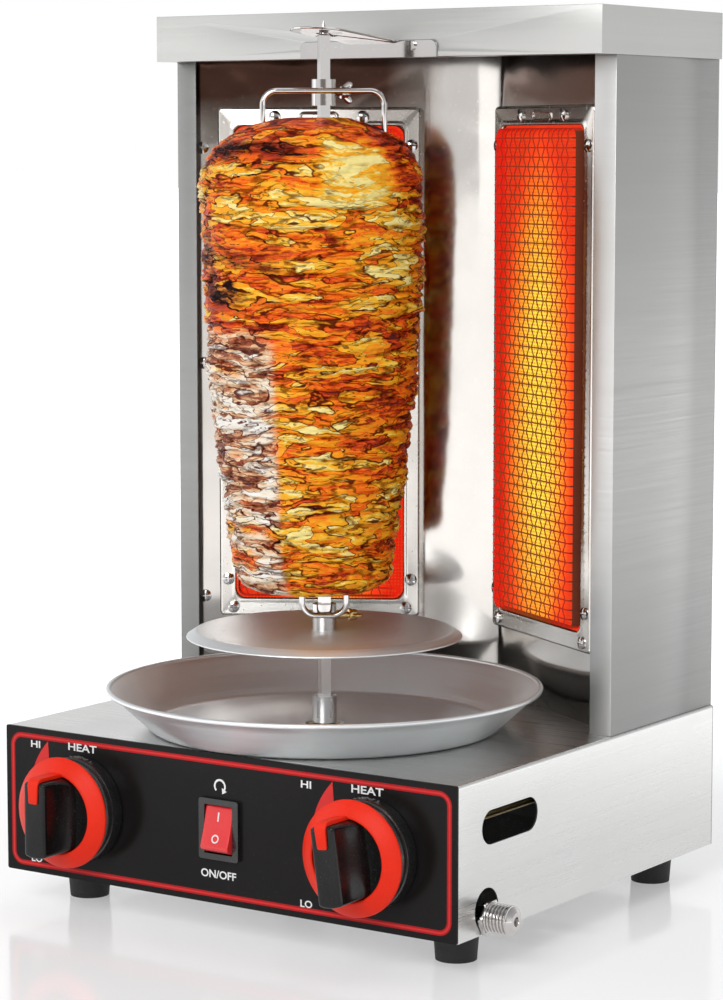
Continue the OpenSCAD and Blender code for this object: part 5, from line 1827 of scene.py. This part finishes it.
        patch = wander(u, v, (12, 18), 71, 3)
        moved = v + 0.04 * (patch - 0.5)
        brim = round_about(262, 36, 4) * band(0.945, 0.020, 2, moved)
        knot = round_about(264, 27, 4) * band(0.690, 0.060, 4, moved) * smooth_step(0.30, 0.55, patch)
        flank = round_about(232, 17) * smooth_step(0.58, 0.66, v) * (1 - smooth_step(0.92, 0.97, v))
        spots = smooth_step(0.56, 0.78, wander(u, v, (9, 16), 73, 3))
        char = 0.60 * brim + 0.62 * knot + 0.45 * flank + 0.34 * spots
        lower = 1 - smooth_step(0.53, 0.59, v + 0.06 * (patch - 0.5))
        speckled = smooth_step(0.10, 0.40, wander(u, v, (14, 34), 81, 2))
        # Painted glare: a whitened, speckled patch at the foot of the flank near 244 degrees.
        pale = round_about(244, 40, 30) * lower * speckled
        border = 0.016 * (wander(u, v, (20, 30), 91, 3) - 0.5)
        crown = round_about(330, 20, 6) * band(0.893, 0.066, 6, v + border)
        # The small lowering of tone round 22 degrees is painted shade, darker and redder, on the right
        # flank.
        tone = tone + 0.55 * crown + 0.06 * round_about(318, 34) - 0.04 * round_about(22, 36)
        tone = tone - 0.26 * smooth_step(0.90, 0.96, v) * (1 - crown)
        gap = np.clip(0.8 * big_gap + 0.55 * small_gap, 0, 1) * (1 - 0.75 * crown)
        char = char * (1 - crown)
        named = {"tone": tone, "char": char, "pale": pale, "gap": gap, "clean": crown}
        return {key: np.clip(numbers, 0, 1) for key, numbers in named.items()}


@dataclass
class SpitWork:
    """Thumb screws, retainer and the chromed pieces of the spit."""

    def build(self) -> None:
        """Makes the wing screws and the bent retainer and dresses rod, forks and socket."""
        self.wing_screw("lower", 69.5, 9.0, math.pi / 2)
        self.wing_screw("upper", 436.0, 3.5, 0.0)
        self.retainer()
        for node in ("spit_rod", "lower_fork", "upper_fork", "drive_socket", "retainer_screws"):
            dress_node(node, CHROME)

    def wing_screw(self, name: str, collar_z: float, out: float, wing_turn: float) -> None:
        """Threaded shank, waisted hub and two ears, turned into place on its collar.

        An ear is an ellipse carried along a curve that leaves the hub and bends outwards; its width
        swells as a sine.

        Args:
            name: lower or upper.
            collar_z: foot of its collar over the deck.
            out: how far it is backed out of the collar.
            wing_turn: how far its ears stand turned about the shank.
        """
        tip, hub = 3.8, 8.5 + out
        shank_x = np.linspace(tip, hub + 1, 60)
        angle = np.arange(16) * TURN / 16
        way = (shank_x[:, None] / 0.9 + angle[None] / TURN) % 1
        thread = 2.45 - 0.22 * (np.abs(way - 0.5) * 2)
        along = np.repeat(shank_x[:, None], 16, 1)
        shank = np.stack([along, thread * np.cos(angle), thread * np.sin(angle)], -1)
        profile = [
            (3.4, 0.0), (4.3, 0.3), (4.6, 1.2), (4.3, 2.4),
            (3.9, 3.6), (4.0, 5.0), (3.6, 6.2), (2.6, 6.9),
        ]
        turned = revolved(profile, 32)
        cap = np.stack([turned[..., 2] + hub, turned[..., 0], turned[..., 1]], -1)
        shell = Shell().solid(shank).solid(cap)
        s = np.linspace(0, 1, 14)
        wide = 1.6 + 1.3 * np.sin(np.pi * s**1.2) * s + 0.3
        wide[-3:] *= np.array([0.9, 0.68, 0.25])
        thin = np.linspace(1.5, 1.0, 14)
        thin[-3:] *= np.array([0.95, 0.8, 0.4])
        level = spin(np.array([0, 1.0, 0]), wing_turn, 0)
        for sign in (1, -1):
            path = np.stack([hub + 2.4 + 6.6 * s**1.3, np.zeros(14), sign * (2.2 + 4.3 * s)], -1)
            shell.solid(tubed(spin(path, wing_turn, 0), thin, wide, level, 14))
        shell.moved(SPIT_TURN + FLAT_TURN, 2, (*SPIT, DECK_Z + collar_z + 9.0))
        finish = BRASS if name == "lower" else CHROME
        shell.piece(f"wing_screw_{name}", finish, f"{name}_screw", [f"{name}_thumb_screw"], 50)

    def retainer(self) -> None:
        """Bent sheet: upright leg on the cap and a tongue over the spit, pierced for its tip.

        The leg is a rounded plate. The tongue is a strip with a round nose that rises by 5 degrees;
        its skin runs from the hole over the top to the outline and back underneath.
        """
        front, thick = 178.0, 1.5
        middle, length, half_w = 3.0, 83.0, 21.0
        root_z, y_root = ROOF_Z + 10.5, front - thick
        leg = []
        soft = 0.35
        for inset, depth in ((soft, 0.0), (0.0, soft), (0.0, thick - soft), (soft, thick)):
            y, half, high = front - depth, 58.0 - inset, 12.0 - inset
            a = np.linspace(0, math.pi / 2, 9)
            right = np.stack([half - 5 + 5 * np.cos(a), high - 5 + 5 * np.sin(a)], -1)
            left = right[::-1] * np.array([-1, 1])
            edge = np.concatenate([right, left, [[-half, 0.0], [half, 0.0]]])
            leg.append(np.stack([edge[:, 0], np.full(len(edge), y), ROOF_Z + edge[:, 1]], -1))
        shell = Shell().solid(np.stack(leg))
        a = np.linspace(math.pi, TURN, 37)
        nose = np.stack([half_w * np.cos(a), half_w * np.sin(a) + half_w - length], -1)
        sides = np.linspace(half_w - length, -1.6, 12)[1:]
        up = np.stack([np.full(len(sides), half_w), sides], -1)
        root = np.stack([np.linspace(half_w, -half_w, 14)[1:-1], np.zeros(12)], -1)
        down = np.stack([np.full(len(sides), -half_w), sides[::-1]], -1)
        outline = np.concatenate([nose, up, root, down])[:72]
        spit_local = np.array([-middle, SPIT_Y - y_root])
        angle = np.arctan2(*(outline - spit_local).T[::-1])
        hole = spit_local + 5.35 * np.stack([np.cos(angle), np.sin(angle)], -1)
        inner = hole + (outline - hole) * 0.02
        rim = outline + (hole - outline) * 0.012
        sheet = []
        for edge, down_by in (
            (hole, 0.2), (inner, 0.0), (rim, 0.0), (outline, 0.3),
            (outline, thick - 0.3), (rim, thick), (inner, thick), (hole, thick - 0.2),
        ):
            bend = smooth_step(-5.0, 0.0, edge[:, 1])
            z = root_z + thick - edge[:, 1] * math.tan(math.radians(5)) - down_by - 1.2 * bend**2
            sheet.append(np.stack([edge[:, 0] + middle, edge[:, 1] + y_root, z], -1))
        shell.ring(np.stack(sheet)).piece("bent_retainer", CHROME, "cabinet", ["spit_retainer"], 30)


@dataclass
class Inlet:
    """Gas inlet with a real thread.

    Attributes:
        y: distance from the front.
        z: height over the worktop.
        start: where the thread begins, from the middle of the cabinet.
        length: length of the thread.
        radius: outside radius of the thread.
        pitch: pitch of the thread.
    """

    y: float = 36.0
    z: float = 36.0
    start: float = 194.0
    length: float = 16.0
    radius: float = 10.4775
    pitch: float = 2.6

    def build(self) -> None:
        """Threaded nipple with its cone, bore and stub, and a chamfered hexagon.

        The thread's radius falls from the crest by a rounded triangle wave of the place along it
        less the share of the way round, which fades out at both ends.
        """
        turns, sides = int(self.length / self.pitch * 14), 72
        x = np.linspace(0, self.length, turns)
        a = np.arange(sides) * TURN / sides
        wave = np.abs(((x[:, None] / self.pitch - a[None] / TURN) % 1) - 0.5) * 2
        fade = smooth_step(0, 1.6, x) * smooth_step(0, 1.4, self.length - x)
        r = self.radius - 1.6 * fade[:, None] * smooth_step(0.1, 0.9, wave)
        thread = np.stack([np.repeat(x[:, None], sides, 1), r * np.cos(a), r * np.sin(a)], -1)
        far = self.length
        end = [
            (far + 0.1, 9.6), (far + 0.7, 9.2), (far + 3.0, 5.9), (far + 3.0, 3.2),
            (far + 2.6, 3.0), (1.0, 3.0), (-18.0, 3.0), (-19.2, 3.0), (-19.2, 7.0),
            (-3.4, 7.0), (-0.3, 7.2), (-0.1, 9.8),
        ]
        tail = [np.stack([np.full(sides, x0), r0 * np.cos(a), r0 * np.sin(a)], -1) for x0, r0 in end]
        shell = Shell().ring(np.concatenate([thread, tail]))
        q = np.arange(96) * TURN / 96
        flat = 11.0 / np.cos((q % (TURN / 6)) - TURN / 12)
        q = q + TURN / 6
        hexagon = []
        for place, most in ((-3.5, 11.7), (-3.1, 12.75), (-0.4, 12.75), (0.0, 11.7)):
            r = np.minimum(flat, most)
            hexagon.append(np.stack([np.full(96, place), r * np.cos(q), r * np.sin(q)], -1))
        shell.solid(np.stack(hexagon)).moved(0, 2, (self.start, self.y, self.z))
        shell.piece("threaded_inlet", CHROME, "cabinet", ["gas_inlet"], 32)


# ---------- carried-over solids


def shade_round(limit: float = 35) -> bpy.types.NodeTree:
    """Geometry group that shades faces smooth and keeps edges sharper than the limit.

    Args:
        limit: degrees between faces above which an edge shows.

    Returns:
        The group.
    """
    name = "shade_round"
    if name in bpy.data.node_groups:
        return bpy.data.node_groups[name]
    tree = bpy.data.node_groups.new(name, "GeometryNodeTree")
    tree.interface.new_socket("Geometry", in_out="INPUT", socket_type="NodeSocketGeometry")
    tree.interface.new_socket("Geometry", in_out="OUTPUT", socket_type="NodeSocketGeometry")
    nodes, links = tree.nodes, tree.links
    given, put = nodes.new("NodeGroupInput"), nodes.new("NodeGroupOutput")
    angle = nodes.new("GeometryNodeInputMeshEdgeAngle")
    above = nodes.new("FunctionNodeCompare")
    above.data_type, above.operation = "FLOAT", "GREATER_THAN"
    above.inputs[1].default_value = math.radians(limit)
    faces, edges = nodes.new("GeometryNodeSetShadeSmooth"), nodes.new("GeometryNodeSetShadeSmooth")
    faces.domain, edges.domain = "FACE", "EDGE"
    edges.inputs["Shade Smooth"].default_value = False
    links.new(given.outputs[0], faces.inputs[0])
    links.new(faces.outputs[0], edges.inputs[0])
    links.new(angle.outputs[0], above.inputs[0])
    links.new(above.outputs[0], edges.inputs["Selection"])
    links.new(edges.outputs[0], put.inputs[0])
    return tree


def dress_node(name: str, finish: Finish, bevel: float = 0.0) -> None:
    """Gives a CAD node its finish, smooth shading and, where asked, softened edges.

    Args:
        name: the node.
        finish: what it is dressed in.
        bevel: width of its softened edges in millimetres.
    """
    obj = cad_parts[name]
    obj.data.materials.clear()
    obj.data.materials.append(finish.material())
    weld = obj.modifiers.new("merged", "WELD")
    weld.merge_threshold = 2e-6
    if bevel:
        soft = obj.modifiers.new("soft_edges", "BEVEL")
        soft.width = bevel * MILLIMETRE
        soft.segments = 2
        soft.limit_method = "ANGLE"
        soft.angle_limit = math.radians(40)
        soft.harden_normals = False
    rounder = obj.modifiers.new("shaded_round", "NODES")
    rounder.node_group = shade_round()


@dataclass
class Cabinet:
    """Finishes of the solids that are shown as they are, and the widths of their softened edges.

    Attributes:
        finishes: finish to the nodes that wear it.
        bevels: node to the width of its softened edges in millimetres.
    """

    finishes: tuple[tuple[Finish, str], ...] = (
        (BASE_STEEL_LIT, "base_shell"),
        (BRUSHED, "base_rear rear_cover"),
        (WALL_LEFT_FRONT_SHADED, "side_wall_left"),
        (WALL_RIGHT_FRONT_LIT, "side_wall_right"),
        (CAP_STEEL, "top_cover"),
        (LINING_STEEL, "reflector_lining"),
        (ZINC, "base_floor burner_housing_left burner_housing_right gearbox_housing gearbox_cover"),
        (CHROME, "pan_head_screws"),
        (BLACK, "switch_housing cable_gland"),
        (BRASS, "manifold_pipe valve_body_left valve_body_right valve_poppet_left"),
        (BRASS, "valve_poppet_right burner_pipe_left burner_pipe_right gas_jet_left gas_jet_right"),
        (BRASS, "motor_pinion drive_gear deck_bush"),
        (MOTOR, "motor_can"),
        (RUBBER, "foot_front_left foot_front_right foot_rear_left foot_rear_right"),
    )
    bevels: dict[str, float] = field(
        default_factory=lambda: {"side_wall_left": 0.35, "side_wall_right": 0.35, "top_cover": 0.5}
    )

    def build(self) -> None:
        """Dresses each solid."""
        for finish, nodes in self.finishes:
            for name in nodes.split():
                dress_node(name, finish, self.bevels.get(name, 0.0))
                log.info("%s: dressed as %s", name, finish.name)


# ---------- studio


@dataclass
class Studio:
    """Pale floor, soft lamps, plain world and the camera at the photograph's angle.

    Attributes:
        azimuth: degrees that the camera stands to the right of the front.
        drop: degrees that it looks down.
        place: where it stands, in machine millimetres.
        lens: focal length for the sensor.
        sensor: width of the sensor.
        floor_half: half the width of the floor in metres.
        floor_lift: how much whiter the floor near the grill looks to the eye.
        dim_azimuth: where the studio's dim end lies, to the right of the front.
        dim_width: how far its border reaches from there.
        dim: colour of that end.
        sky: colour of the world by height, from straight down to straight up.
        lamps: name, place in metres, size and power of each lamp.
    """

    azimuth: float = 34.283
    drop: float = 6.612
    place: tuple[float, float, float] = (1221.61, -1622.54, 536.93)
    lens: float = 109.82
    sensor: float = 36.0
    floor_half: float = 30.0
    floor_lift: float = 0.26
    dim_azimuth: float = math.radians(29)
    dim_width: float = math.radians(34)
    dim: Colour = (0.26, 0.235, 0.215)
    sky: tuple[tuple[float, Colour], ...] = (
        (0.0, (1, 1, 1)),
        (0.60, (1, 1, 1)),
        (0.72, (0.62, 0.62, 0.63)),
        (1.0, (0.30, 0.30, 0.31)),
    )
    lamps: tuple[tuple[str, tuple[float, float, float], float, float], ...] = (
        ("key", (0.5, -2.7, 1.8), 1.6, 44.0),
        ("fill", (-2.4, -1.2, 1.3), 1.8, 8.0),
        ("top", (0.2, 0.1, 2.6), 1.6, 8.0),
    )

    def build(self) -> None:
        """Sets up stage, light and camera."""
        self.floor()
        self.world()
        for lamp in self.lamps:
            self.lamp(*lamp)
        self.camera()
        bpy.context.scene.view_settings.view_transform = "Standard"

    def floor(self) -> None:
        """One large pale sheet that shines a little; to the eye it runs out into the white backdrop."""
        corners = np.array([[-1, -1, 0], [1, -1, 0], [1, 1, 0], [-1, 1, 0]]) * self.floor_half
        mesh = bpy.data.meshes.new("studio_floor")
        mesh.from_pydata(corners.tolist(), [], [[0, 1, 2, 3]])
        made = bpy.data.materials.new("studio_floor")
        made.use_nodes = True
        g = Graph(made.node_tree)
        shader = made.node_tree.nodes["Principled BSDF"]
        away = g.measure("LENGTH", g.add("TexCoord").outputs["Object"])
        path = g.add("LightPath").outputs
        seen = g.math("MAXIMUM", path["Is Camera Ray"], path["Is Glossy Ray"])
        backdrop = g.product(seen, g.span(away, 0.45, 1.5, self.floor_lift, 1.0))
        g.feed(shader, {"Base Color": (0.86, 0.86, 0.86, 1), "Roughness": 0.12})
        g.feed(shader, {"Emission Color": (1, 1, 1, 1), "Emission Strength": backdrop})
        mesh.materials.append(made)
        obj = bpy.data.objects.new("studio_floor", mesh)
        bpy.context.scene.collection.objects.link(obj)

    def world(self) -> None:
        """White round the horizon, greyer overhead; a plain level of light.

        Reflections also see the dim end of the studio, a patch to the right of the front.
        """
        world = bpy.data.worlds.new("studio")
        bpy.context.scene.world = world
        world.use_nodes = True
        world.node_tree.nodes.clear()
        g = Graph(world.node_tree)
        way = g.add("TexCoord").outputs["Generated"]
        sky = g.ramp(g.span(g.parts(way)[2], -1.0, 1.0), self.sky)
        path = g.add("LightPath").outputs
        seen = g.math("MAXIMUM", path["Is Glossy Ray"], path["Is Transmission Ray"])
        seen = g.math("MAXIMUM", path["Is Camera Ray"], seen)
        dim_way = (math.sin(self.dim_azimuth), -math.cos(self.dim_azimuth), 0.05)
        dim = g.span(g.measure("DOT_PRODUCT", way, dim_way), math.cos(self.dim_width), 0.97)
        mirrored = g.mix(g.product(dim, path["Is Glossy Ray"]), sky, self.dim)
        light = g.add("Background", {"Color": sky, "Strength": 0.85})
        shown = g.add("Background", {"Color": mirrored, "Strength": 1.0})
        both = g.add("MixShader", {0: seen, 1: light.outputs[0], 2: shown.outputs[0]})
        out = g.add("OutputWorld", {0: both.outputs[0]})
        out.is_active_output = True

    def lamp(self, name: str, place: Sequence[float], size: float, power: float) -> None:
        """A square soft lamp aimed at the middle of the grill.

        Args:
            name: its name.
            place: where it hangs, in metres.
            size: its width in metres.
            power: its power in watts.
        """
        data = bpy.data.lights.new(name, "AREA")
        data.shape = "SQUARE"
        data.size = size
        data.energy = power
        obj = bpy.data.objects.new(name, data)
        obj.location = place
        aim = Vector((0, 0, 0.3)) - Vector(place)
        obj.rotation_euler = aim.to_track_quat("-Z", "Y").to_euler()
        bpy.context.scene.collection.objects.link(obj)

    def camera(self) -> None:
        """Stands where the photograph was taken."""
        data = bpy.data.cameras.new("camera")
        data.lens, data.sensor_width = self.lens, self.sensor
        data.clip_start, data.clip_end = 0.05, 100.0
        obj = bpy.data.objects.new("camera", data)
        a, e = math.radians(self.azimuth), math.radians(self.drop)
        back = Vector((math.sin(a) * math.cos(e), -math.cos(a) * math.cos(e), math.sin(e)))
        obj.location = to_row(np.array(self.place))
        obj.rotation_mode = "QUATERNION"
        obj.rotation_quaternion = (-back).to_track_quat("-Z", "Y")
        bpy.context.scene.collection.objects.link(obj)
        bpy.context.scene.camera = obj


# ---------- everything


def main() -> None:
    """Builds the grill and its studio."""
    logging.basicConfig(level=logging.INFO, format="%(name)s: %(message)s")
    burners = Burner(-1), Burner(1)
    parts = (Cabinet(), *burners, Front(), Inlet(), PanAndPlate(), SpitWork(), Meat(), Studio())
    for part in parts:
        part.build()


if __name__ == "__main__":
    main()
